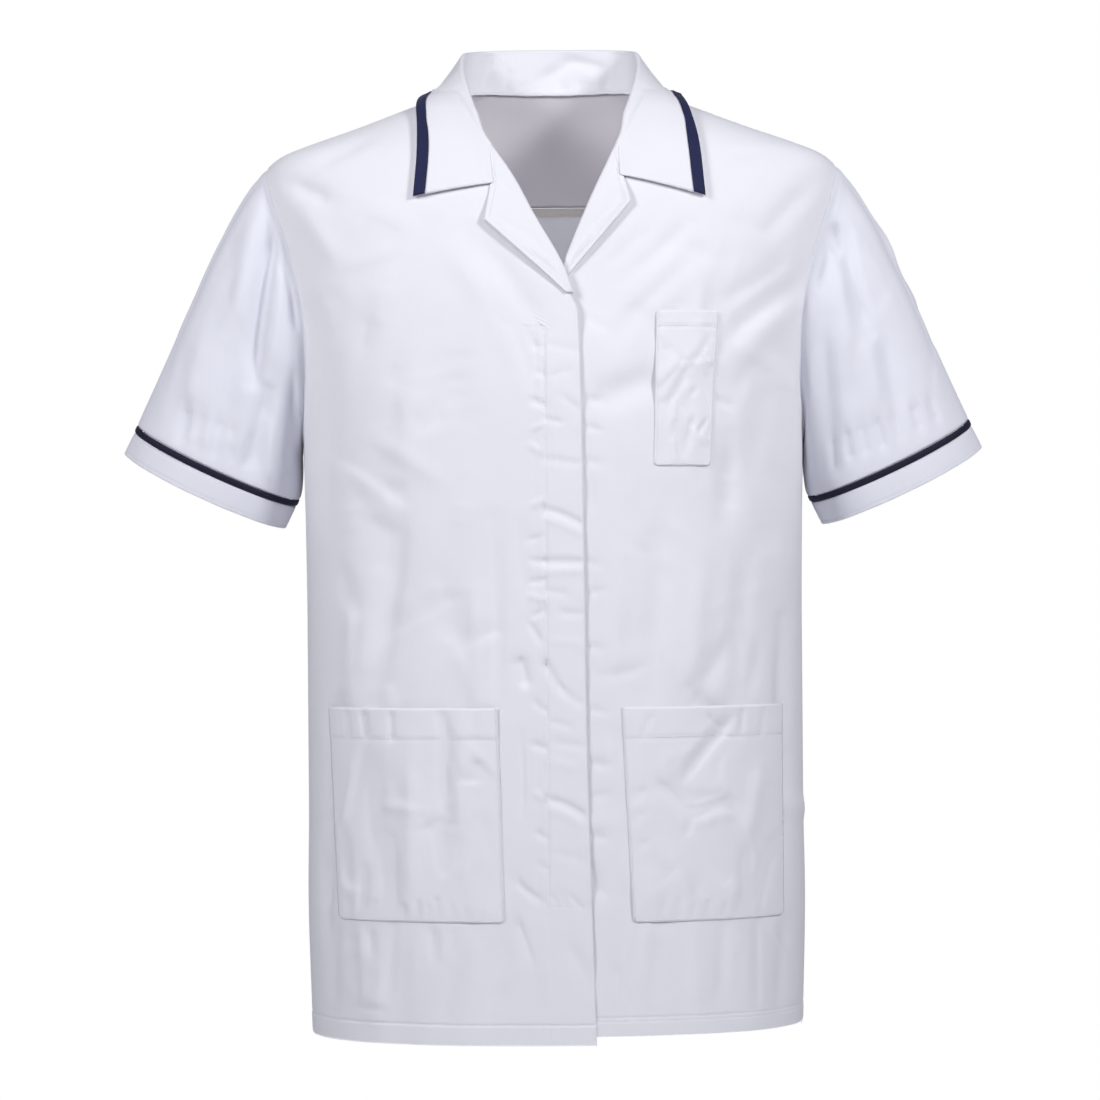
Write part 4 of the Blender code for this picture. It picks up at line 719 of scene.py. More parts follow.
@dataclass
class Cloth:
    """A wall of cloth made from its outer face."""
    name: str
    face: Face
    thickness: float
    rounding: float = 0.30

    def build(self) -> bpy.types.Object:
        """Make the closed wall as a mesh object with a UV map in metres."""
        outer, inner = self.walls()
        rows, columns = outer.shape[:2]
        quads = self.quads(rows, columns)
        first = quads[0]
        flat = np.concatenate([outer.reshape(-1, 3), inner.reshape(-1, 3)])
        made = np.cross(flat[first[1]] - flat[first[0]], flat[first[3]] - flat[first[0]])
        if np.dot(made, self.face.normals.reshape(-1, 3)[first[0]]) < 0.0:
            quads = quads[:, ::-1]
        mesh = bpy.data.meshes.new(self.name)
        mesh.from_pydata(flat.tolist(), [], quads.tolist())
        mesh.update()
        mesh.shade_smooth()
        across = run_length(self.face.points, 1)
        down = np.broadcast_to(run_length(self.face.points, 0).mean(axis=1, keepdims=True), across.shape)
        places = np.stack([across, down], axis=-1).reshape(-1, 2)
        places = np.concatenate([places, places])
        layer = mesh.uv_layers.new(name="cloth")
        corners = np.empty(len(mesh.loops), dtype=np.int32)
        mesh.loops.foreach_get("vertex_index", corners)
        layer.data.foreach_set("uv", places[corners].astype(np.float32).ravel())
        item = bpy.data.objects.new(self.name, mesh)
        bpy.context.scene.collection.objects.link(item)
        return item

    def walls(self) -> tuple[np.ndarray, np.ndarray]:
        """Return the outer and inner points, drawn together a little along free edges."""
        sink = np.zeros(self.face.points.shape[:2])
        sink[0] = sink[-1] = self.rounding
        if not self.face.tube:
            sink[:, 0] = sink[:, -1] = self.rounding
        depth = (sink * self.thickness)[..., None]
        outer = self.face.points - self.face.normals * depth
        return outer, self.face.points - self.face.normals * (self.thickness - depth)

    def quads(self, rows: int, columns: int) -> np.ndarray:
        """Return the wall's faces: both skins and the rims that close them."""
        outer = np.arange(rows * columns).reshape(rows, columns)
        inner = outer + rows * columns
        if self.face.tube:
            outer, inner = (np.hstack([grid, grid[:, :1]]) for grid in (outer, inner))
        skins = [self.patch(outer[:-1, :-1], outer[:-1, 1:], outer[1:, 1:], outer[1:, :-1]),
                 self.patch(inner[:-1, :-1], inner[1:, :-1], inner[1:, 1:], inner[:-1, 1:]),
                 self.patch(outer[0, 1:], outer[0, :-1], inner[0, :-1], inner[0, 1:]),
                 self.patch(outer[-1, :-1], outer[-1, 1:], inner[-1, 1:], inner[-1, :-1])]
        if not self.face.tube:
            skins += [self.patch(outer[:-1, 0], outer[1:, 0], inner[1:, 0], inner[:-1, 0]),
                      self.patch(outer[1:, -1], outer[:-1, -1], inner[:-1, -1], inner[1:, -1])]
        return np.vstack(skins)

    @staticmethod
    def patch(a: np.ndarray, b: np.ndarray, c: np.ndarray, d: np.ndarray) -> np.ndarray:
        """Return quads from four arrays of corner numbers."""
        return np.stack([corner.ravel() for corner in (a, b, c, d)], axis=1)


# ---------------------------------------------------------------- finishes
@dataclass(frozen=True)
class ClothFinish:
    """A woven cloth: its colour, slight unevenness, weave and sheen."""
    name: str
    colour: tuple[float, float, float]
    shade: tuple[float, float, float]
    pitch: float = 0.00050
    weave_height: float = 0.00003
    slub_height: float = 0.00006
    roughness: tuple[float, float] = (0.78, 0.92)
    sheen: float = 0.10

    def material(self) -> bpy.types.Material:
        """Make the finish's material on the UV map, whose unit is the metre."""
        material = bpy.data.materials.new(self.name)
        material.use_nodes = True
        nodes, links = material.node_tree.nodes, material.node_tree.links
        shader = nodes["Principled BSDF"]
        shader.inputs["Sheen Weight"].default_value = self.sheen
        shader.inputs["Sheen Roughness"].default_value = 0.45
        shader.inputs["Specular IOR Level"].default_value = 0.25
        place = nodes.new("ShaderNodeUVMap")
        place.uv_map = "cloth"
        cloud = self.noise(nodes, links, place, (9.0, 6.0, 1.0), 3.0)
        streak = self.noise(nodes, links, place, (1400.0, 35.0, 1.0), 2.0)
        mix = nodes.new("ShaderNodeMix")
        mix.data_type = "RGBA"
        mix.inputs["A"].default_value = (*self.colour, 1.0)
        mix.inputs["B"].default_value = (*self.shade, 1.0)
        blend = self.math(nodes, links, "MULTIPLY", cloud, streak)
        links.new(blend, mix.inputs["Factor"])
        links.new(mix.outputs["Result"], shader.inputs["Base Color"])
        rough = nodes.new("ShaderNodeMapRange")
        rough.inputs["To Min"].default_value, rough.inputs["To Max"].default_value = self.roughness
        links.new(streak, rough.inputs["Value"])
        links.new(rough.outputs["Result"], shader.inputs["Roughness"])
        weave = self.weave(nodes, links, place)
        for height, depth in ((weave, self.weave_height), (streak, self.slub_height)):
            relief = nodes.new("ShaderNodeBump")
            relief.inputs["Strength"].default_value = 0.6
            relief.inputs["Distance"].default_value = depth
            links.new(height, relief.inputs["Height"])
            if shader.inputs["Normal"].is_linked:
                links.new(shader.inputs["Normal"].links[0].from_socket, relief.inputs["Normal"])
            links.new(relief.outputs["Normal"], shader.inputs["Normal"])
        return material

    @staticmethod
    def math(nodes: bpy.types.Nodes, links: bpy.types.NodeLinks, kind: str,
             first: bpy.types.NodeSocket, second: bpy.types.NodeSocket) -> bpy.types.NodeSocket:
        """Add a math node on two sockets and return its result."""
        node = nodes.new("ShaderNodeMath")
        node.operation = kind
        links.new(first, node.inputs[0])
        links.new(second, node.inputs[1])
        return node.outputs[0]

    @staticmethod
    def noise(nodes: bpy.types.Nodes, links: bpy.types.NodeLinks, place: bpy.types.Node,
              scale: tuple[float, float, float], detail: float) -> bpy.types.NodeSocket:
        """Add a noise texture stretched by a scale and return its value."""
        mapping = nodes.new("ShaderNodeMapping")
        mapping.inputs["Scale"].default_value = scale
        links.new(place.outputs["UV"], mapping.inputs["Vector"])
        texture = nodes.new("ShaderNodeTexNoise")
        texture.inputs["Scale"].default_value = 1.0
        texture.inputs["Detail"].default_value = detail
        links.new(mapping.outputs["Vector"], texture.inputs["Vector"])
        return texture.outputs["Fac"]

    def weave(self, nodes: bpy.types.Nodes, links: bpy.types.NodeLinks,
              place: bpy.types.Node) -> bpy.types.NodeSocket:
        """Add the crossing threads and return their height."""
        split = nodes.new("ShaderNodeSeparateXYZ")
        links.new(place.outputs["UV"], split.inputs["Vector"])
        waves = []
        for axis in ("X", "Y"):
            scaled = nodes.new("ShaderNodeMath")
            scaled.operation = "MULTIPLY"
            scaled.inputs[1].default_value = 2.0 * math.pi / self.pitch
            links.new(split.outputs[axis], scaled.inputs[0])
            wave = nodes.new("ShaderNodeMath")
            wave.operation = "SINE"
            links.new(scaled.outputs[0], wave.inputs[0])
            waves.append(wave.outputs[0])
        return self.math(nodes, links, "MULTIPLY", waves[0], waves[1])


@dataclass(frozen=True)
class ThreadFinish:
    """A plain sewing thread with a soft gloss along its twist."""
    name: str
    colour: tuple[float, float, float]
    shade: tuple[float, float, float]

    def material(self) -> bpy.types.Material:
        """Make the finish's material on object coordinates."""
        material = bpy.data.materials.new(self.name)
        material.use_nodes = True
        nodes, links = material.node_tree.nodes, material.node_tree.links
        shader = nodes["Principled BSDF"]
        shader.inputs["Roughness"].default_value = 0.55
        place = nodes.new("ShaderNodeTexCoord")
        texture = nodes.new("ShaderNodeTexNoise")
        texture.inputs["Scale"].default_value = 700.0
        links.new(place.outputs["Object"], texture.inputs["Vector"])
        mix = nodes.new("ShaderNodeMix")
        mix.data_type = "RGBA"
        mix.inputs["A"].default_value = (*self.colour, 1.0)
        mix.inputs["B"].default_value = (*self.shade, 1.0)
        links.new(texture.outputs["Fac"], mix.inputs["Factor"])
        links.new(mix.outputs["Result"], shader.inputs["Base Color"])
        return material


BODY_WHITE = ClothFinish("body_white", (0.825, 0.825, 0.872), (0.775, 0.777, 0.830))
# Same white cloth as the body, made darker and bluer: painted shade for the sleeves and their bands.
SLEEVE_WHITE_PAINTED_SHADE = ClothFinish("sleeve_white", (0.775, 0.785, 0.855), (0.725, 0.737, 0.812))
TAPE_NAVY = ClothFinish("tape_navy", (0.0160, 0.0190, 0.0740), (0.0100, 0.0120, 0.0500),
                        pitch=0.00065, weave_height=0.00008, roughness=(0.6, 0.8), sheen=0.06)
PIPING_NAVY = ClothFinish("piping_navy", (0.0080, 0.0100, 0.0300), (0.0050, 0.0060, 0.0200),
                          pitch=0.00060, weave_height=0.00006, roughness=(0.55, 0.75), sheen=0.05)
OVERLOCK_BEIGE = ClothFinish("overlock_beige", (0.800, 0.770, 0.750), (0.720, 0.685, 0.665),
                             pitch=0.00080, weave_height=0.00008)
# The body's white made darker and warmer for the yoke's inner face: painted shade inside the neck.
NECK_PAINTED_SHADE = ClothFinish("neck_painted_shade", (0.680, 0.650, 0.685), (0.640, 0.610, 0.645))
WHITE_THREAD = ThreadFinish("white_thread", (0.88, 0.88, 0.89), (0.78, 0.78, 0.80))
BEIGE_THREAD = ThreadFinish("beige_thread", (0.80, 0.75, 0.68), (0.68, 0.62, 0.55))


# ---------------------------------------------------------------- stitching
@dataclass(frozen=True)
class StitchRow:
    """A row of machine stitches: a node tree lays threads along a path of edges."""
    name: str
    paths: list[np.ndarray]
    pitch: float = 0.0030
    length: float = 0.0025
    radius: float = 0.00024
    unevenness: float = 0.14
    seed: int = 3

    @staticmethod
    def tree() -> bpy.types.NodeTree:
        """Return the node tree, made once, that lays stitches along mesh edges."""
        made = bpy.data.node_groups.get("stitch_row")
        if made:
            return made
        tree = bpy.data.node_groups.new("stitch_row", "GeometryNodeTree")
        face = tree.interface
        face.new_socket("Geometry", in_out="INPUT", socket_type="NodeSocketGeometry")
        for name in ("Pitch", "Stitch Length", "Thread Radius", "Unevenness"):
            face.new_socket(name, in_out="INPUT", socket_type="NodeSocketFloat")
        face.new_socket("Seed", in_out="INPUT", socket_type="NodeSocketInt")
        face.new_socket("Material", in_out="INPUT", socket_type="NodeSocketMaterial")
        face.new_socket("Geometry", in_out="OUTPUT", socket_type="NodeSocketGeometry")
        nodes, links = tree.nodes, tree.links
        start, end = nodes.new("NodeGroupInput"), nodes.new("NodeGroupOutput")
        curve = nodes.new("GeometryNodeMeshToCurve")
        links.new(start.outputs["Geometry"], curve.inputs["Mesh"])
        spots = nodes.new("GeometryNodeCurveToPoints")
        spots.mode = "LENGTH"
        links.new(curve.outputs["Curve"], spots.inputs["Curve"])
        links.new(start.outputs["Pitch"], spots.inputs["Length"])
        turn = nodes.new("FunctionNodeAlignRotationToVector")
        turn.axis = "X"
        links.new(spots.outputs["Tangent"], turn.inputs["Vector"])
        thread = nodes.new("GeometryNodeMeshUVSphere")
        thread.inputs["Segments"].default_value = 6
        thread.inputs["Rings"].default_value = 4
        thread.inputs["Radius"].default_value = 1.0
        scatter = StitchRow.scatter(nodes, links, start)
        size = nodes.new("ShaderNodeCombineXYZ")
        half = nodes.new("ShaderNodeMath")
        half.operation = "MULTIPLY"
        half.inputs[1].default_value = 0.5
        links.new(start.outputs["Stitch Length"], half.inputs[0])
        links.new(half.outputs[0], size.inputs["X"])
        links.new(start.outputs["Thread Radius"], size.inputs["Y"])
        links.new(start.outputs["Thread Radius"], size.inputs["Z"])
        uneven = nodes.new("ShaderNodeVectorMath")
        uneven.operation = "SCALE"
        links.new(size.outputs["Vector"], uneven.inputs[0])
        links.new(scatter, uneven.inputs["Scale"])
        lay = nodes.new("GeometryNodeInstanceOnPoints")
        links.new(spots.outputs["Points"], lay.inputs["Points"])
        links.new(thread.outputs["Mesh"], lay.inputs["Instance"])
        links.new(turn.outputs["Rotation"], lay.inputs["Rotation"])
        links.new(uneven.outputs["Vector"], lay.inputs["Scale"])
        whole = nodes.new("GeometryNodeRealizeInstances")
        links.new(lay.outputs["Instances"], whole.inputs["Geometry"])
        smooth = nodes.new("GeometryNodeSetShadeSmooth")
        links.new(whole.outputs["Geometry"], smooth.inputs["Geometry"])
        finish = nodes.new("GeometryNodeSetMaterial")
        links.new(smooth.outputs["Geometry"], finish.inputs["Geometry"])
        links.new(start.outputs["Material"], finish.inputs["Material"])
        links.new(finish.outputs["Geometry"], end.inputs["Geometry"])
        return tree

    @staticmethod
    def scatter(nodes: bpy.types.Nodes, links: bpy.types.NodeLinks,
                start: bpy.types.Node) -> bpy.types.NodeSocket:
        """Add the random size of each stitch, 1 plus or minus the unevenness."""
        chance = nodes.new("FunctionNodeRandomValue")
        chance.data_type = "FLOAT"
        for kind, socket in (("SUBTRACT", 2), ("ADD", 3)):
            node = nodes.new("ShaderNodeMath")
            node.operation = kind
            node.inputs[0].default_value = 1.0
            links.new(start.outputs["Unevenness"], node.inputs[1])
            links.new(node.outputs[0], chance.inputs[socket])
        links.new(start.outputs["Seed"], chance.inputs["Seed"])
        return chance.outputs[1]

    def build(self, material: bpy.types.Material) -> bpy.types.Object:
        """Lay the stitches and return them as a plain mesh object.

        Args:
            material: The thread's material.

        Returns:
            The mesh object, with no modifier left on it.
        """
        points = np.concatenate(self.paths)
        edges, first = [], 0
        for path in self.paths:
            edges += [(first + k, first + k + 1) for k in range(len(path) - 1)]
            first += len(path)
        guide = bpy.data.meshes.new(self.name + "_path")
        guide.from_pydata(points.tolist(), edges, [])
        carrier = bpy.data.objects.new(self.name + "_path", guide)
        bpy.context.scene.collection.objects.link(carrier)
        modifier = carrier.modifiers.new("stitches", "NODES")
        modifier.node_group = self.tree()
        wanted = {"Pitch": self.pitch, "Stitch Length": self.length, "Thread Radius": self.radius,
                  "Unevenness": self.unevenness, "Seed": self.seed, "Material": material}
        for item in modifier.node_group.interface.items_tree:
            if item.in_out == "INPUT" and item.name in wanted:
                modifier[item.identifier] = wanted[item.name]
        bpy.context.view_layer.update()
        ready = carrier.evaluated_get(bpy.context.evaluated_depsgraph_get())
        mesh = bpy.data.meshes.new_from_object(ready)
        mesh.name = self.name
        carrier.modifiers.remove(modifier)
        bpy.data.objects.remove(carrier, do_unlink=True)
        item = bpy.data.objects.new(self.name, mesh)
        bpy.context.scene.collection.objects.link(item)
        return item


# ---------------------------------------------------------------- workroom
@dataclass(frozen=True)
class Cut:
    """The size a sheet of cloth was cut to, and its flat area where it isn't a rectangle."""
    width: float
    length: float
    area: float
    held: Held = Held.HUNG


class Workroom:
    """Builds pieces, gives them their finish and reports them."""

    def __init__(self) -> None:
        """Start with no materials made."""
        self.materials: dict[str, bpy.types.Material] = {}

    def material(self, finish: ClothFinish | ThreadFinish) -> bpy.types.Material:
        """Return a finish's material, made on its first use."""
        if finish.name not in self.materials:
            self.materials[finish.name] = finish.material()
        return self.materials[finish.name]

    def sew(self, cloth: Cloth, finish: ClothFinish, cut: Cut, node: str = "") -> bpy.types.Object:
        """Args:
            cloth: The piece to build.
            finish: Its finish.
            cut: The size it was cut to.
            node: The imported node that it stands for, if any.

        Returns:
            The piece.
        """
        item = cloth.build()
        item.data.materials.append(self.material(finish))
        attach(item, "root")
        if node:
            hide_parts(node)
        points = cloth.face.points
        if cloth.face.tube:
            points = np.concatenate([points, points[:, :1]], axis=1)
        across, down = np.diff(points, axis=1)[:-1], np.diff(points, axis=0)[:, :-1]
        area = np.linalg.norm(np.cross(across, down), axis=-1).sum()
        LOG.info("%s: %d faces, %.4f m2 of cloth, cut %.3f by %.3f m", cloth.name,
                 len(item.data.polygons), area, cut.width, cut.length)
        return item

    def stitch(self, row: StitchRow, finish: ThreadFinish = WHITE_THREAD,
               slot: str = "white_cloth") -> bpy.types.Object:
        item = row.build(self.material(finish))
        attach(item, "root")
        LOG.info("%s: %d faces of thread", row.name, len(item.data.polygons))
        return item


# ---------------------------------------------------------------- fronts
@dataclass
class Fronts:
    """Both fronts: the wearer's right lies on top and carries the concealed fly."""
    cloth: float = 0.0010
    over_cut: Cut = Cut(0.300, 0.785, 0.214)
    under_cut: Cut = Cut(0.285, 0.780, 0.199)
    stitch_x: float = -0.0072
    hem_stitch_drop: float = 0.0166
    under_hem_stitches: tuple[float, float] = (0.0125, 0.0150)
    # Spots where the closing edge stands up a little. Columns: z, width, height (millimetres)
    lifted: tuple = (
        (-198, 6, 1.2), (-228, 7, 1.4), (-258, 6, 1.8), (-280, 5, 1.2), (-309, 7, 1.8),
        (-330, 5, 1.2), (-386, 7, 2.2), (-412, 6, 1.6), (-430, 5, 1.2), (-454, 6, 1.8),
        (-478, 7, 1.6), (-503, 7, 1.8), (-547, 8, 2.0), (-582, 7, 1.5), (-611, 9, 2.2),
        (-640, 10, 2.6), (-700, 12, 1.4),
    )
    faces: dict[Side, Face] = field(default_factory=dict)

    def over_rows(self) -> np.ndarray:
        """Return the row heights of the top front."""
        stitch = HEM_OVER_Z + self.hem_stitch_drop
        return np.concatenate([
            np.linspace(NECK_TOP_Z, TIP_Z, 28)[:-1],
            BodyForm.armhole_z(np.linspace(0.0, math.pi, 122)),
            np.linspace(UNDERARM_Z, stitch + 0.003, 206)[1:],
            np.linspace(stitch + 0.003, stitch - 0.003, 9)[1:],
            np.linspace(stitch - 0.003, HEM_OVER_Z, 9)[1:]])

    def over_theta(self, z: np.ndarray) -> np.ndarray:
        """Return the top front's column angles, with fine columns round the fly stitching."""
        side = -math.pi - BodyForm.outer_theta(z, -1)
        edge = BodyForm.theta_at(-smooth_lookup(OVER_EDGE, z), z, -1)
        counts = (68, 14, 24)
        shares = np.cumsum((0,) + counts) / sum(counts)
        low = smooth_step(0.172, 0.205, -z)
        knots = [side]
        for share, x in zip(shares[1:3], (-0.0300, self.stitch_x)):
            even = side + (edge - side) * share
            wanted = BodyForm.theta_at(np.full_like(z, x), z, -1)
            knots.append(even + (wanted - even) * low)
        knots.append(edge)
        spans = [np.linspace(knots[k], knots[k + 1], counts[k] + 1, axis=1)[:, (k > 0):]
                 for k in range(3)]
        return np.concatenate(spans, axis=1)

    def fly_relief(self, x: np.ndarray, z: np.ndarray) -> np.ndarray:
        """Return the puffed band of the fly, its stitched groove and its lifted edge."""
        below = smooth_step(0.176, 0.200, -z)
        above = smooth_step(0.652, 0.662, -z)
        edge = -smooth_lookup(OVER_EDGE, z)
        band = smooth_step(self.stitch_x, self.stitch_x + 0.004, x)
        puff = 0.0007 * band * below * (1.0 - 0.6 * above)
        groove = -0.00090 * bump(x - self.stitch_x, 0.0012) * below * (1.0 - above)
        crown = 0.00060 * bump(x - self.stitch_x + 0.0030, 0.0020) * below * (1.0 - above)
        near = smooth_step(0.014, 0.0, edge - x)
        lift = sum(0.25 * height * MM * bump(z - at * MM, width * MM) for at, width, height in self.lifted)
        pressed = -0.0004 * bump(edge - x, 0.0012) * below
        return puff + groove + crown + near * lift + pressed

    def seam_relief(self, points: np.ndarray, column_end: int) -> np.ndarray:
        """Return the pressed ridge and groove along a panel's outer seam.

        Args:
            points: The panel's grid.
            column_end: 0 where the seam is the first column, -1 where it is the last.

        Returns:
            The relief.
        """
        length = run_length(points, 1)
        away = length if column_end == 0 else length[:, -1:] - length
        return 0.00060 * bump(away - 0.0032, 0.0022) - 0.00015 * bump(away, 0.0010)

    @staticmethod
    def hem_relief(z: np.ndarray, hem: float, drops: tuple[float, ...]) -> np.ndarray:
        """Return the thicker turned hem and its stitched grooves."""
        top = hem + max(drops)
        relief = 0.00035 * smooth_step(0.0, 0.0014, top - z)
        for drop in drops:
            relief = relief - 0.00045 * bump(z - hem - drop, 0.0010)
        return relief

    def build_over(self, room: Workroom) -> None:
        """Make the top front and its stitching."""
        rows = self.over_rows()
        theta = self.over_theta(rows)
        z = np.broadcast_to(rows[:, None], theta.shape)
        base, normal = BodyForm.surface(theta, z, Layer.OVER)
        x = base[..., 0]
        inset = smooth_step(0.0, SEAM_CALM, np.abs(base[..., 1]))
        creases = read_creases(OVER_CREASES) + Rumple(
            11, 110, (-0.190, -0.740), (-0.025, -0.090), width=(0.005, 0.012), height=0.0008).creases()
        edge = -smooth_lookup(OVER_EDGE, z)
        closing = smooth_step(0.170, 0.200, -z)
        calm_edge = 1.0 - (1.0 - closing) * smooth_step(0.020, 0.004, edge - x)
        band = smooth_step(self.stitch_x - 0.001, self.stitch_x + 0.003, x)
        calm = (1.0 - 0.45 * band * closing) * (1.0 - 0.40 * smooth_step(0.660, 0.700, -z))
        relief = total_relief(creases, x, z) * inset * calm_edge * calm
        relief = relief + self.fly_relief(x, z) + self.seam_relief(base, 0)
        relief = relief + self.hem_relief(z, HEM_OVER_Z, (self.hem_stitch_drop,))
        face = Face(base, normal).raised(relief)
        self.faces[Side.RIGHT] = face
        room.sew(Cloth("front_right_cloth", face, self.cloth), BODY_WHITE,
                 self.over_cut, "front_right")
        self.stitch_over(room, face, rows)

    def stitch_over(self, room: Workroom, face: Face, rows: np.ndarray) -> None:
        """Lay the fly's stitching, the short row across its end, and the hem's."""
        column = 68 + 14
        down = np.arange(np.searchsorted(-rows, 0.206), np.searchsorted(-rows, -FLY_BOTTOM_Z))
        lift = 0.0001
        fly = face.line(down, np.full(len(down), column), lift)
        end_row = float(down[-1])
        across = face.line(np.full(24, end_row), np.linspace(column, face.points.shape[1] - 2, 24), lift)
        hem_row = np.interp(-(HEM_OVER_Z + self.hem_stitch_drop), -rows, np.arange(len(rows)))
        columns = np.linspace(1, face.points.shape[1] - 2, 150)
        hem = face.line(np.full(150, hem_row), columns, lift)
        bar_rows = np.interp([0.1985, 0.2000], -rows, np.arange(len(rows)))
        bars = [face.line(np.full(10, row), np.linspace(column - 5, column + 4, 10), lift)
                for row in bar_rows]
        room.stitch(StitchRow("fly_stitches", [fly, across, *bars]))
        room.stitch(StitchRow("front_right_hem_stitches", [hem]))

    def build_under(self, room: Workroom) -> None:
        """Make the front that lies under the closing, and its hem stitching."""
        rows = np.concatenate([
            np.linspace(NECK_TOP_Z, TIP_Z, 28)[:-1],
            BodyForm.armhole_z(np.linspace(0.0, math.pi, 118)),
            np.linspace(UNDERARM_Z, HEM_UNDER_Z + 0.020, 190)[1:],
            np.linspace(HEM_UNDER_Z + 0.020, HEM_UNDER_Z, 26)[1:]])
        inner = BodyForm.theta_at(smooth_lookup(UNDER_EDGE, rows), rows, -1)
        theta = np.linspace(inner, BodyForm.outer_theta(rows, -1), 96, axis=1)
        z = np.broadcast_to(rows[:, None], theta.shape)
        base, normal = BodyForm.surface(theta, z, Layer.UNDER)
        x = base[..., 0]
        inset = smooth_step(0.0, SEAM_CALM, np.abs(base[..., 1]))
        creases = read_creases(UNDER_CREASES) + Rumple(
            23, 100, (0.040, -0.740), (0.190, -0.090), width=(0.005, 0.012), height=0.0008).creases()
        shown = smooth_step(0.018, 0.032, x) * smooth_step(0.0, 0.018, run_length(base, 1))
        calm = (1.0 - 0.40 * smooth_step(0.660, 0.700, -z)) * (0.6 + 0.4 * smooth_step(0.035, 0.055, x))
        relief = total_relief(creases, x, z) * inset * shown * calm + self.seam_relief(base, -1)
        relief = relief + self.hem_relief(z, HEM_UNDER_Z, self.under_hem_stitches)
        face = Face(base, normal).raised(relief)
        self.faces[Side.LEFT] = face
        room.sew(Cloth("front_left_cloth", face, self.cloth), BODY_WHITE,
                 self.under_cut, "front_left")
        hem_rows = np.interp([-(HEM_UNDER_Z + drop) for drop in self.under_hem_stitches],
                             -rows, np.arange(len(rows)))
        columns = np.linspace(1, face.points.shape[1] - 2, 140)
        room.stitch(StitchRow("front_left_hem_stitches",
                              [face.line(np.full(140, row), columns, 0.0001) for row in hem_rows]))

    def build_fly_strip(self, room: Workroom, cut: Cut = Cut(0.031, 0.461, 0.0142)) -> None:
        """Make the inner strip of the fly, close behind the top front."""
        rows = np.linspace(FLY_TOP_Z, FLY_BOTTOM_Z, 150)
        start = BodyForm.theta_at(np.full_like(rows, FLY_INNER_X), rows, -1)
        edge = BodyForm.theta_at(-smooth_lookup(OVER_EDGE, rows) - 0.0012, rows, -1)
        theta = np.linspace(start, edge, 16, axis=1)
        z = np.broadcast_to(rows[:, None], theta.shape)
        base, normal = BodyForm.surface(theta, z, Layer.OVER)
        relief = total_relief(read_creases(OVER_CREASES), base[..., 0], z)
        relief = np.minimum(relief + self.fly_relief(base[..., 0], z), 0.0010)
        face = Face(base, normal).raised(relief - self.cloth - 0.0004)
        room.sew(Cloth("fly_strip_cloth", face, 0.0007), BODY_WHITE, cut, "fly_strip")

    def build(self, room: Workroom) -> None:
        """Make both fronts and the fly's inner strip."""
        self.build_over(room)
        self.build_under(room)
        self.build_fly_strip(room)


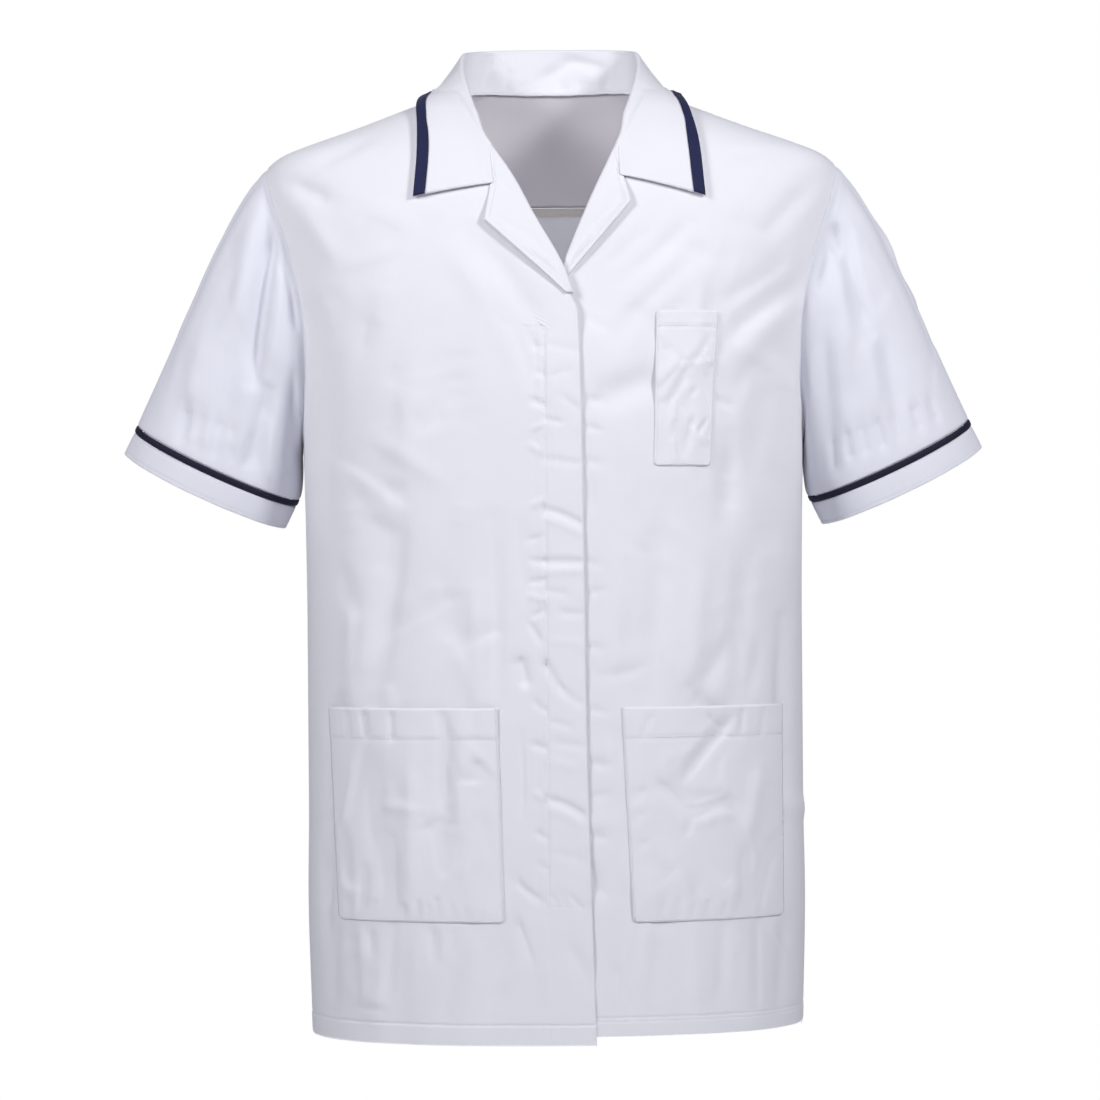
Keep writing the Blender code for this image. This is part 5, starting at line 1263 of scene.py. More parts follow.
# ---------------------------------------------------------------- back
@dataclass
class BackPanels:
    """The back, its yoke and the overlocked seam allowance inside the neck."""
    cloth: float = 0.0010
    columns: int = 168
    back_cut: Cut = Cut(0.545, 0.700, 0.352)
    yoke_cut: Cut = Cut(0.560, 0.120, 0.0552)
    strip_cut: Cut = Cut(0.510, 0.0105, 0.0038)
    hem_stitch_drop: float = 0.0150
    yoke_face: Face | None = None

    def creases(self) -> list[Crease]:
        """Return the back's creases: a scatter, with flutes towards the hem."""
        return (Rumple(31, 90, (-0.185, -0.700), (0.185, -0.120), height=0.0008,
                       width=(0.005, 0.014), length=(0.03, 0.12)).creases()
                + Rumple(37, 26, (-0.185, -0.690), (0.185, -0.640), height=0.0011, lean=0.25,
                         width=(0.004, 0.009), length=(0.04, 0.09)).creases()
                + Rumple(41, 34, (-0.200, -0.300), (0.200, -0.150), height=0.0009, lean=1.6,
                         width=(0.005, 0.012), length=(0.03, 0.10)).creases())

    def face_over(self, rows: np.ndarray, creases: list[Crease]) -> Face:
        """Return the face of the back over given row heights."""
        side = BodyForm.outer_theta(rows, 1)
        theta = np.linspace(side, math.pi - side, self.columns, axis=1)
        z = np.broadcast_to(rows[:, None], theta.shape)
        base, normal = BodyForm.surface(theta, z, Layer.BACK)
        inset = smooth_step(0.0, SEAM_CALM, np.abs(base[..., 1]))
        away = edge_distance(base, 1)
        relief = total_relief(creases, base[..., 0], z) * inset
        relief = relief + 0.00060 * bump(away - 0.0032, 0.0022) - 0.00015 * bump(away, 0.0010)
        return Face(base, normal).raised(relief)

    def build(self, room: Workroom) -> None:
        """Make the three pieces and their stitching."""
        arm_start = math.acos((YOKE_Z - 0.5 * (TIP_Z + UNDERARM_Z)) / (0.5 * (TIP_Z - UNDERARM_Z)))
        rows = np.concatenate([
            BodyForm.armhole_z(np.linspace(arm_start, math.pi, 80)),
            np.linspace(UNDERARM_Z, HEM_BACK_Z + 0.020, 160)[1:],
            np.linspace(HEM_BACK_Z + 0.020, HEM_BACK_Z, 22)[1:]])
        rows[0] = YOKE_Z - 0.5 * SEAM_GAP
        face = self.face_over(rows, self.creases())
        z = np.broadcast_to(rows[:, None], face.points.shape[:2])
        seam = 0.0005 * bump(YOKE_Z - z - 0.0030, 0.0020)
        face = face.raised(Fronts.hem_relief(z, HEM_BACK_Z, (self.hem_stitch_drop,)) + seam)
        room.sew(Cloth("back_cloth", face, self.cloth), BODY_WHITE, self.back_cut, "back")
        hem_row = np.interp(-(HEM_BACK_Z + self.hem_stitch_drop), -rows, np.arange(len(rows)))
        hem = face.line(np.full(220, hem_row), np.linspace(1, self.columns - 2, 220), 0.0001)
        yoke_row = np.interp(-(YOKE_Z - 0.0030), -rows, np.arange(len(rows)))
        top = face.line(np.full(220, yoke_row), np.linspace(2, self.columns - 3, 220), 0.0001)
        room.stitch(StitchRow("back_stitches", [hem, top]))
        self.build_yoke(room)
        self.build_strip(room, face)

    def build_yoke(self, room: Workroom) -> None:
        """Make the yoke, from the neck to its seam with the back, with painted shade on its inner face."""
        arm_end = math.acos((YOKE_Z - 0.5 * (TIP_Z + UNDERARM_Z)) / (0.5 * (TIP_Z - UNDERARM_Z)))
        rows = np.concatenate([np.linspace(0.0, TIP_Z, 30)[:-1],
                               BodyForm.armhole_z(np.linspace(0.0, arm_end, 14))])
        rows[-1] = YOKE_Z + 0.5 * SEAM_GAP
        creases = Rumple(47, 22, (-0.17, -0.080), (0.17, -0.020), height=0.0005, lean=1.2).creases()
        self.yoke_face = self.face_over(rows, creases)
        item = room.sew(Cloth("back_yoke_cloth", self.yoke_face, self.cloth), BODY_WHITE,
                        self.yoke_cut, "back_yoke")
        # The inner skin gets the second material, painted shade for the dark inside of the neck.
        item.data.materials.append(room.material(NECK_PAINTED_SHADE))
        cells = (len(rows) - 1) * (self.columns - 1)
        inside = np.zeros(len(item.data.polygons), dtype=np.int32)
        inside[cells:2 * cells] = 1
        item.data.polygons.foreach_set("material_index", inside)

    def build_strip(self, room: Workroom, back: Face) -> None:
        """Make the seam allowance that hangs inside the back, with its overlock thread."""
        drop, rows_wide = 0.0072, 6
        inside = back.points - back.normals * (self.cloth + 0.0004)
        count = int(np.searchsorted(run_length(back.points, 0)[:, self.columns // 2], drop))
        lines = np.linspace(0.0, float(count), rows_wide)
        columns = np.arange(3, self.columns - 3, dtype=float)
        grid = Face(inside, -back.normals)
        points = np.stack([grid.line(np.full(len(columns), row), columns) for row in lines])
        wave = 0.0004 * np.sin(columns * 1.9) + 0.0003 * np.sin(columns * 0.83)
        lift = np.linspace(0.0, 1.0, rows_wide)[:, None] * (0.0005 + wave)[None, :]
        inward = facing(grid_normals(points), np.broadcast_to(points * (-1.0, -1.0, 0.0), points.shape))
        strip = Face(points, inward).raised(0.0004 + lift)
        room.sew(Cloth("yoke_seam_cloth", strip, 0.0005), OVERLOCK_BEIGE, self.strip_cut,
                 "yoke_seam_strip")
        turns = np.arange(0.0, len(columns) - 1.0, 0.22)
        saw = np.abs(np.mod(turns / 0.44, 2.0) - 1.0)
        zigzag = strip.line(0.6 + saw * (rows_wide - 1.7), turns, 0.0002)
        edge = strip.line(np.full(len(turns), rows_wide - 1.15), turns, 0.0003)
        top = strip.line(np.full(len(turns), 0.7), turns, 0.0003)
        room.stitch(StitchRow("overlock_stitches", [zigzag, edge, top], pitch=0.0024, length=0.0026,
                              radius=0.00028), BEIGE_THREAD, "overlock")


# ---------------------------------------------------------------- sleeves
@dataclass
class Sleeve:
    """A set-in short sleeve with its navy piping and turned band."""
    side: Side
    creases: tuple
    cloth: float = 0.0010
    columns: int = 176
    rows: int = 104
    sleeve_cut: Cut = Cut(0.460, 0.235, 0.0595)
    piping_cut: Cut = Cut(0.400, 0.0110, 0.00245)
    cuff_cut: Cut = Cut(0.400, 0.022, 0.0079)

    @staticmethod
    def armhole_position(angle: np.ndarray) -> tuple[np.ndarray, np.ndarray]:
        """Return the section angle and height of the armhole's edge, front below pi."""
        z = BodyForm.armhole_z(angle)
        front, back = BodyForm.armhole_theta(z, -1), BodyForm.armhole_theta(z, 1)
        return np.where(np.sin(angle) >= 0.0, front, back), z

    @classmethod
    def armhole_frame(cls, angle: np.ndarray) -> tuple[np.ndarray, np.ndarray, np.ndarray]:
        """Return armhole points with the panel's normal and its direction into the hole."""
        theta, z = cls.armhole_position(angle)
        point, normal = BodyForm.section_point(theta, z), BodyForm.normal(theta, z)
        middle = 0.5 * (TIP_Z + UNDERARM_Z)
        inward = np.stack([np.zeros_like(z), -point[..., 1], middle - z], axis=-1)
        step = 1e-3
        run = unit(BodyForm.section_point(*cls.armhole_position(angle + step))
                   - BodyForm.section_point(*cls.armhole_position(angle - step)))
        inward -= normal * dot(inward, normal)
        inward -= run * dot(inward, run)
        return point, normal, unit(inward)

    @staticmethod
    def ring(angle: np.ndarray, down: np.ndarray) -> np.ndarray:
        """Return points of the sleeve's end ring, moved down along the arm."""
        axis = unit(np.array(SLEEVE_AXIS))
        out = unit(np.array([-axis[2], 0.0, axis[0]]))
        front = np.cross(axis, out)
        circle = (SLEEVE_HALF_WIDTH * np.cos(angle)[..., None] * out
                  + SLEEVE_HALF_DEPTH * np.sin(angle)[..., None] * front)
        return np.array(SLEEVE_END) + circle + axis * np.asarray(down)[..., None]

    @classmethod
    def surface(cls, angle: np.ndarray, t: np.ndarray) -> np.ndarray:
        """Return sleeve points between the armhole (t 0) and the piping (t 1)."""
        angle = np.mod(angle + math.pi, 2.0 * math.pi) - math.pi
        point, normal, inward = cls.armhole_frame(angle)
        turn = np.radians(smooth_lookup(SLEEVE_TURN, np.degrees(np.abs(angle))))[..., None]
        start_way = np.cos(turn) * inward + np.sin(turn) * normal
        half_way = unit(np.cos(0.5 * turn) * inward + np.sin(0.5 * turn) * normal)
        start = point + half_way * SLEEVE_SEAM_GAP
        end = cls.ring(angle, np.zeros_like(angle))
        reach = np.linalg.norm(end - start, axis=-1, keepdims=True)
        axis = unit(np.array(SLEEVE_AXIS))
        t = t[..., None]
        first, last = SLEEVE_REACH
        return ((1 + 2 * t) * (1 - t) ** 2 * start + t * (1 - t) ** 2 * first * reach * start_way
                + t * t * (3 - 2 * t) * end + t * t * (t - 1) * last * reach * axis)

    def outward(self, points: np.ndarray) -> np.ndarray:
        """Return normals of a tube of cloth that point away from its middle."""
        middle = points.mean(axis=1, keepdims=True)
        return facing(grid_normals(points, tube=True), points - middle)

    def mirrored(self, points: np.ndarray) -> np.ndarray:
        """Return points moved to this sleeve's side."""
        return points * np.array([float(self.side.value), 1.0, 1.0])

    def build(self, room: Workroom) -> None:
        """Make the sleeve, its piping, its band and their stitching."""
        word = self.side.name.lower()
        angles = np.linspace(0.0, 2.0 * math.pi, self.columns + 1)[:-1]
        t = np.linspace(0.0, 1.0, self.rows) ** 1.06
        angle, down = np.meshgrid(angles, t)
        points = self.mirrored(self.surface(angle, down))
        base = Face(points, self.outward(points), tube=True)
        x, z = points[..., 0], points[..., 2]
        front = smooth_step(0.25, -0.25, base.normals[..., 1])
        sign = float(self.side.value)
        low, high = sorted((sign * 0.215, sign * 0.330))
        rear = Rumple(60 + self.side.value, 34, (low, -0.290), (high, -0.080), height=0.0013,
                      width=(0.006, 0.013), length=(0.03, 0.10), lean=0.5).creases()
        small = Rumple(70 + self.side.value, 40, (low, -0.300), (high, -0.070), height=0.0004).creases()
        length = run_length(points, 0)
        ends = smooth_step(0.0, 0.012, length) * (0.45 + 0.55 * smooth_step(0.0, 0.02, length[-1:] - length))
        relief = (total_relief(read_creases(self.creases) + small, x, z) * front
                  + total_relief(rear, x, z) * (1.0 - front)) * ends
        relief = relief - 0.0006 * bump(length, 0.0022) + 0.0004 * bump(length - 0.006, 0.003)
        relief = relief - 0.0004 * bump(length[-1:] - length, 0.0015)
        face = base.raised(relief)
        # The sleeve takes the darker copy of the body white, painted shade.
        room.sew(Cloth(f"sleeve_{word}_cloth", self.tucked(face, angles), self.cloth), SLEEVE_WHITE_PAINTED_SHADE,
                 self.sleeve_cut, f"sleeve_{word}")
        self.build_bands(room, word, face, angles)

    def tucked(self, face: Face, angles: np.ndarray) -> Face:
        """Return the sleeve with its head tucked under the panels' edges, as sewn."""
        point, normal, inward = self.armhole_frame(np.mod(angles + math.pi, 2.0 * math.pi) - math.pi)
        rows = [self.mirrored(point - inward * under - normal * (self.cloth + deep))
                for under, deep in ((0.0030, 0.0004), (0.0012, 0.0002))]
        points = np.concatenate([np.stack(rows), face.points])
        lining = np.broadcast_to(self.mirrored(normal), (2, *normal.shape))
        return Face(points, np.concatenate([lining, face.normals]), tube=True)

    def build_bands(self, room: Workroom, word: str, sleeve: Face, angles: np.ndarray) -> None:
        """Make the piping and the band, which follow the sleeve's own waves at its end."""
        wave = dot(sleeve.points[-1] - self.mirrored(self.ring(angles, np.zeros_like(angles))),
                   sleeve.normals[-1])[:, 0] * 0.8
        # The band takes the same darker copy of the body white as the sleeve, painted shade.
        bands = (("piping", SEAM_GAP, PIPING_WIDTH, 7, 0.0013, PIPING_NAVY, "navy_trim", self.piping_cut),
                 ("cuff", PIPING_WIDTH + SEAM_GAP, CUFF_END, 22, 0.0012, SLEEVE_WHITE_PAINTED_SHADE, "white_cloth",
                  self.cuff_cut))
        for name, start, end, rows, cloth, finish, slot, cut in bands:
            angle, down = np.meshgrid(angles, np.linspace(start, end, rows))
            points = self.mirrored(self.ring(angle, down))
            base = Face(points, self.outward(points), tube=True)
            share = (down - start) / (end - start)
            relief = wave[None, :] * (1.0 - 0.5 * share * (name == "cuff"))
            if name == "piping":
                relief = relief + 0.0006 * np.sin(math.pi * share) ** 0.5
            else:
                ripple = 0.0004 * np.sin(5.0 * angle + 1.3) + 0.0003 * np.sin(11.0 * angle)
                relief = relief + ripple * share - 0.0004 * bump(down - end + 0.0025, 0.0010)
                relief = relief - 0.0004 * bump(down - start - 0.0012, 0.0010)
            face = base.raised(relief)
            room.sew(Cloth(f"{name}_{word}_cloth", face, cloth), finish, cut, f"{name}_{word}")
            if name == "cuff":
                around = np.arange(0.0, self.columns - 0.9, 1.0)
                rows_at = np.interp([0.0012, end - start - 0.0025], share[:, 0] * (end - start),
                                    np.arange(rows))
                paths = [face.line(np.full(len(around), at), around, 0.0001) for at in rows_at]
                paths = [np.vstack([path, path[:1]]) for path in paths]
                room.stitch(StitchRow(f"cuff_{word}_stitches", paths))


# ---------------------------------------------------------------- collar
@dataclass
class Collar:
    """The one-piece revere collar with its tape and the ridge of its neck seam."""
    cloth: float = 0.0016
    tape_cloth: float = 0.0007
    tape_width: float = 0.0100
    per_station: int = 7
    collar_cut: Cut = Cut(0.640, 0.105, 0.0445)
    tape_cut: Cut = Cut(0.610, 0.0105, 0.0057)
    ridge_cut: Cut = Cut(0.250, 0.010, 0.00110)
    # Creases by length round the neck from centre back and length up from the neck seam
    # (millimetres): x0, z0, x1, z1, width, height, bend, skew, taper
    creases: tuple = (
        (-52, 32, -30, 12, 5, -0.9, 0, 0, 0.2), (-8, 12, 20, 26, 6, -0.7, 0, 0, 0.2),
        (12, 30, 45, 22, 5, -0.7, 0, 0, 0.2), (-60, 8, -48, 26, 4, -0.6, 0, 0, 0.2),
        (-36, 2, -36, 12, 3, -0.7, 0, 0, 0.1), (-25, 2, -22, 9, 3, -0.6, 0, 0, 0.1),
        (-6, 2, -4, 10, 3, -0.5, 0, 0, 0.1), (9, 2, 8, 12, 3, -0.8, 0, 0, 0.1),
        (24, 2, 26, 11, 3, -0.7, 0, 0, 0.1), (36, 2, 34, 9, 3, -0.6, 0, 0, 0.1),
        (48, 2, 50, 14, 4, -0.8, 0, 0, 0.1), (-104, 62, -120, 84, 6, -0.9, 2, 0, 0.2),
        (-140, 56, -150, 90, 7, -0.8, 2, 0, 0.2), (-160, 55, -172, 92, 7, 0.7, 0, 0, 0.2),
        (118, 60, 128, 88, 6, -0.9, 0, 0, 0.2), (146, 56, 156, 92, 7, -0.7, 0, 0, 0.2),
        (170, 55, 178, 86, 7, 0.7, 0, 0, 0.2), (-80, 60, -84, 90, 8, -0.7, 0, 0, 0.2),
        (70, 58, 76, 92, 8, -0.8, 0, 0, 0.2), (20, 60, 26, 96, 9, -0.8, 0, 0, 0.2),
        (-30, 60, -34, 96, 9, -0.7, 0, 0, 0.2),
    )

    @staticmethod
    def neck_seam(station: np.ndarray, edge_table: tuple) -> tuple[np.ndarray, np.ndarray]:
        """Return points and normals along the neckline at a station number."""
        back = 0.5 * math.pi * (1.0 - np.minimum(station / BACK_STATIONS, 1.0))
        z = np.interp(station, BACK_STATIONS + np.arange(len(NECK_DROPS)), NECK_DROPS)
        edge = np.minimum(smooth_lookup(edge_table, z), smooth_lookup(WIDTH, z))
        theta = np.where(station < BACK_STATIONS, back, BodyForm.theta_at(edge, z, -1))
        return BodyForm.section_point(theta, z), BodyForm.normal(theta, z)

    @classmethod
    def section_frame(cls, station: np.ndarray, side: Side, edge_table: tuple) -> tuple:
        """Return the key points and directions of the collar's section at a station.

        Args:
            station: Station numbers, 0 at centre back.
            side: The wearer's side.
            edge_table: The neckline of the front on that side.

        Returns:
            The stand's foot, the roll, the outer edge, the fold's up and outward
            directions, the neck seam, the way off the panel's edge and the stand's face.
        """
        stations = np.array(COLLAR_STATIONS)
        last = len(stations) - 1
        share = station / last
        roll, edge = through_points(stations[:, :3], share), through_points(stations[:, 3:], share)
        edge[..., 0] += ((front_points(side)[4] - stations[-1, 3])
                         * smooth_step(*POINT_BLEND, -edge[..., 1]))
        seam, normal = cls.neck_seam(station, edge_table)
        step = 0.02
        run = unit(cls.neck_seam(station + step, edge_table)[0]
                   - cls.neck_seam(station - step, edge_table)[0])
        off_panel = unit(np.cross(run, normal))
        off_panel *= np.where(off_panel[..., 2:] < 0.0, -1.0, 1.0)
        front_end = smooth_step(last - FRONT_BLEND[0], last, station)[..., None]
        wrapped = seam + off_panel * (ROLL_RADIUS + ROLL_PAST_EDGE) - normal * ROLL_SINK
        roll = roll + (wrapped - roll) * front_end
        roll_run = unit(through_points(stations[:, :3], share + 0.002)
                        - through_points(stations[:, :3], share - 0.002))
        up = roll - 0.5 * (seam + edge)
        up = unit(up - roll_run * dot(up, roll_run))
        up = unit(up + (off_panel - up) * front_end)
        out = unit(np.cross(up, roll_run))
        out *= np.where(dot(out, normal) < 0.0, -1.0, 1.0)
        out = unit(out + (normal - out) * front_end)
        foot = seam + off_panel * 2.0 * SEAM_GAP
        stand_way = roll - up * ROLL_RADIUS - out * ROLL_RADIUS - foot
        stand_way = unit(stand_way - run * dot(stand_way, run))
        face = unit(np.cross(run, stand_way))
        face *= np.where(dot(face, out) > 0.0, -1.0, 1.0)
        face = unit(face + (-normal - face) * front_end)
        face = unit(face - off_panel * np.minimum(dot(face, off_panel), 0.0))
        foot = foot + face * (PACKED_COLLAR_CLOTH + FOOT_STEP * front_end)
        return foot, roll, edge, up, out, seam, off_panel, face

    @classmethod
    def surface(cls, station: np.ndarray, v: np.ndarray, side: Side,
                edge_table: tuple) -> tuple[np.ndarray, np.ndarray]:
        """Return points of the collar's visible face and the normals of its stand and fold.

        Args:
            station: Station numbers, 0 at centre back.
            v: Place from the neck seam (0) over the roll to the outer edge (1).
            side: The wearer's side.
            edge_table: The neckline of the front on that side.

        Returns:
            The points and the normals.
        """
        foot, roll, edge, up, out, seam, off_panel, face = cls.section_frame(station, side, edge_table)
        near = roll - up * ROLL_RADIUS - out * ROLL_RADIUS
        far = roll - up * ROLL_RADIUS + out * ROLL_RADIUS
        last = len(COLLAR_STATIONS) - 1
        front_end = smooth_step(last - FRONT_BLEND[1], last, station)[..., None]
        notch_x, notch_z = front_points(side)[:2]
        notch = np.array([notch_x, NOTCH_Y, notch_z])
        leaf = np.clip((v - FOLD_SHARE) / (1.0 - FOLD_SHARE), 0.0, 1.0)[..., None]
        straight = far + (edge - far) * leaf
        bent = np.where(leaf < NOTCH_SHARE, far + (notch - far) * (leaf / NOTCH_SHARE),
                        notch + (edge - notch) * ((leaf - NOTCH_SHARE) / (1.0 - NOTCH_SHARE)))
        leaf_point = straight + (bent - straight) * front_end
        stand = np.clip(v / STAND_SHARE, 0.0, 1.0)[..., None]
        stand_point = foot + (near - foot) * stand
        turn = np.clip((v - STAND_SHARE) / (FOLD_SHARE - STAND_SHARE), 0.0, 1.0)[..., None] * math.pi
        radial = np.sin(turn) * up - np.cos(turn) * out
        fold_point = roll - up * ROLL_RADIUS + ROLL_RADIUS * radial
        point = np.where(v[..., None] < STAND_SHARE, stand_point,
                         np.where(v[..., None] < FOLD_SHARE, fold_point, leaf_point))
        past_edge = dot(point - seam, off_panel)[..., 0]
        wanted = PACKED_COLLAR_CLOTH + LEAF_CLEAR + LEAF_LIFT * smooth_step(0.5, 0.8, v)
        wanted = wanted * (1.0 - smooth_step(0.0, LEAF_SETTLE, past_edge))
        wanted = np.where((v > FOLD_SHARE) & (point[..., 2] < NECK_TOP), wanted, -1.0)
        for _ in range(6):
            distance, way = BodyForm.clearance(point)
            point = point + way * np.maximum(wanted - distance, 0.0)[..., None]
        return point, unit(face + (radial - face) * stand)

    def base_face(self) -> tuple[Face, np.ndarray]:
        """Return the collar's plain face, right end to left end, and its v values."""
        v = np.concatenate([np.linspace(0.0, STAND_SHARE, 17), np.linspace(STAND_SHARE, FOLD_SHARE, 11)[1:],
                            np.linspace(FOLD_SHARE, 1.0, 34)[1:]])
        last = len(COLLAR_STATIONS) - 1
        stations = np.linspace(0.0, last, last * self.per_station + 1)
        station, rows = np.meshgrid(stations, v)
        flip = np.array([-1.0, 1.0, 1.0])
        right, right_fold = self.surface(station, rows, Side.RIGHT, OVER_EDGE)
        left, left_fold = self.surface(station, rows, Side.LEFT, UNDER_EDGE)
        points = np.concatenate([(right * flip)[:, :0:-1], left], axis=1)
        fold = np.concatenate([(right_fold * flip)[:, :0:-1], left_fold], axis=1)
        normals = grid_normals(points)
        if normals[0, normals.shape[1] // 2, 1] > 0.0:
            normals = -normals
        return Face(points, np.where((v <= FOLD_SHARE)[:, None, None], fold, normals)), v

    def build(self, room: Workroom, beneath: list[np.ndarray]) -> Face:
        """Make the collar over the panels, its tape, its neck ridge and its stitching.

        Args:
            room: The workroom.
            beneath: Grids of the panels that it lies on.

        Returns:
            The collar's face.
        """
        base, v = self.base_face()
        around = run_length(base.points, 1)
        around = around - around[:, around.shape[1] // 2][:, None]
        up = run_length(base.points, 0)
        relief = total_relief(read_creases(self.creases), around, up) * np.where(
            v > FOLD_SHARE, 0.8, 2.6)[:, None]
        edge = up[-1:] - up
        ends = edge_distance(base.points, 1)
        relief = relief * smooth_step(0.0, 0.004, up) * smooth_step(0.0, 0.010, ends)
        relief = np.where((v > STAND_SHARE)[:, None] & (v < 0.55)[:, None], 0.35 * relief, relief)
        leaf = (v > FOLD_SHARE)[:, None]
        pressed = np.minimum(edge, np.where(leaf, ends, 1.0))
        relief = relief - 0.0003 * bump(pressed, 0.0014) - 0.0003 * bump(pressed - 0.0052, 0.0009) * leaf
        raised = base.raised(relief)
        normals = np.where((v <= FOLD_SHARE)[:, None, None], base.normals, raised.normals)
        free = np.broadcast_to(leaf, base.points.shape[:2]).copy()
        ways = BodyForm.clearance(raised.points)[1]
        stand = (base.points - base.normals * self.cloth)[:15]
        face = settle(Face(raised.points, normals), self.cloth, beneath + [stand], 0.0005, free, ways)
        room.sew(Cloth("collar_cloth", face, self.cloth), BODY_WHITE, self.collar_cut,
                 "collar")
        self.build_tape(room, face)
        self.build_ridge(room, base, v)
        return face

    def build_tape(self, room: Workroom, face: Face) -> None:
        """Make the tape along the collar's outer edge and its two rows of stitches."""
        columns = np.arange(face.points.shape[1], dtype=float)
        grid = [face.line(face.place(0, distance, from_end=True), columns)
                for distance in np.linspace(self.tape_width, 0.0003, 9)]
        points = np.stack(grid)
        normals = facing(grid_normals(points), np.broadcast_to(face.normals[-2], points.shape))
        share = np.linspace(0.0, 1.0, 9)[:, None]
        height = 0.0003 + self.tape_cloth + 0.0002 * np.sin(math.pi * share)
        tape = Face(points, normals).raised(np.broadcast_to(height, points.shape[:2]))
        room.sew(Cloth("collar_tape_cloth", tape, self.tape_cloth, rounding=0.35), TAPE_NAVY,
                 self.tape_cut, "collar_tape")
        wide = np.linspace(0.5, columns[-1] - 0.5, 220)
        rows = [tape.line(np.full(220, at), wide, 0.0001) for at in (1.2, 7.0)]
        room.stitch(StitchRow("collar_tape_stitches", rows), ThreadFinish(
            "navy_thread", (0.020, 0.024, 0.080), (0.012, 0.014, 0.050)), "navy_trim")

    def build_ridge(self, room: Workroom, base: Face, v: np.ndarray) -> None:
        """Make the turned seam edge that shows along the back of the neck."""
        middle = base.points.shape[1] // 2
        half = int(4.6 * self.per_station)
        columns = slice(middle - half, middle + half + 1)
        low, high = base.points[0, columns], base.points[3, columns]
        out = base.normals[1, columns]
        up = unit(high - low)
        spot = np.linspace(0.0, 1.0, 2 * half + 1)
        knot = 0.35 * np.sin(spot * 61.0) + 0.25 * np.sin(spot * 137.0 + 1.0)
        wide = 0.0016 * (1.0 + 0.30 * knot) * np.sin(math.pi * np.clip(spot, 0.02, 0.98)) ** 0.25
        centre = low + up * 0.0001 + out * 0.0012
        turns = np.linspace(0.0, 2.0 * math.pi, 13)[:-1]
        ring = [centre + up * (wide * math.cos(turn))[:, None] + out * (0.9 * wide * math.sin(turn))[:, None]
                for turn in turns]
        points = np.stack(ring, axis=1)
        normals = facing(grid_normals(points, tube=True), points - centre[:, None, :])
        room.sew(Cloth("neck_seam_ridge", Face(points, normals, tube=True), 0.0006), BODY_WHITE,
                 self.ridge_cut)


def front_points(side: Side) -> tuple:
    """Return the notch, lapel corner and collar point of one side, as x and z pairs."""
    return next(row[1:] for row in FRONT_POINTS if row[0] == side.value)


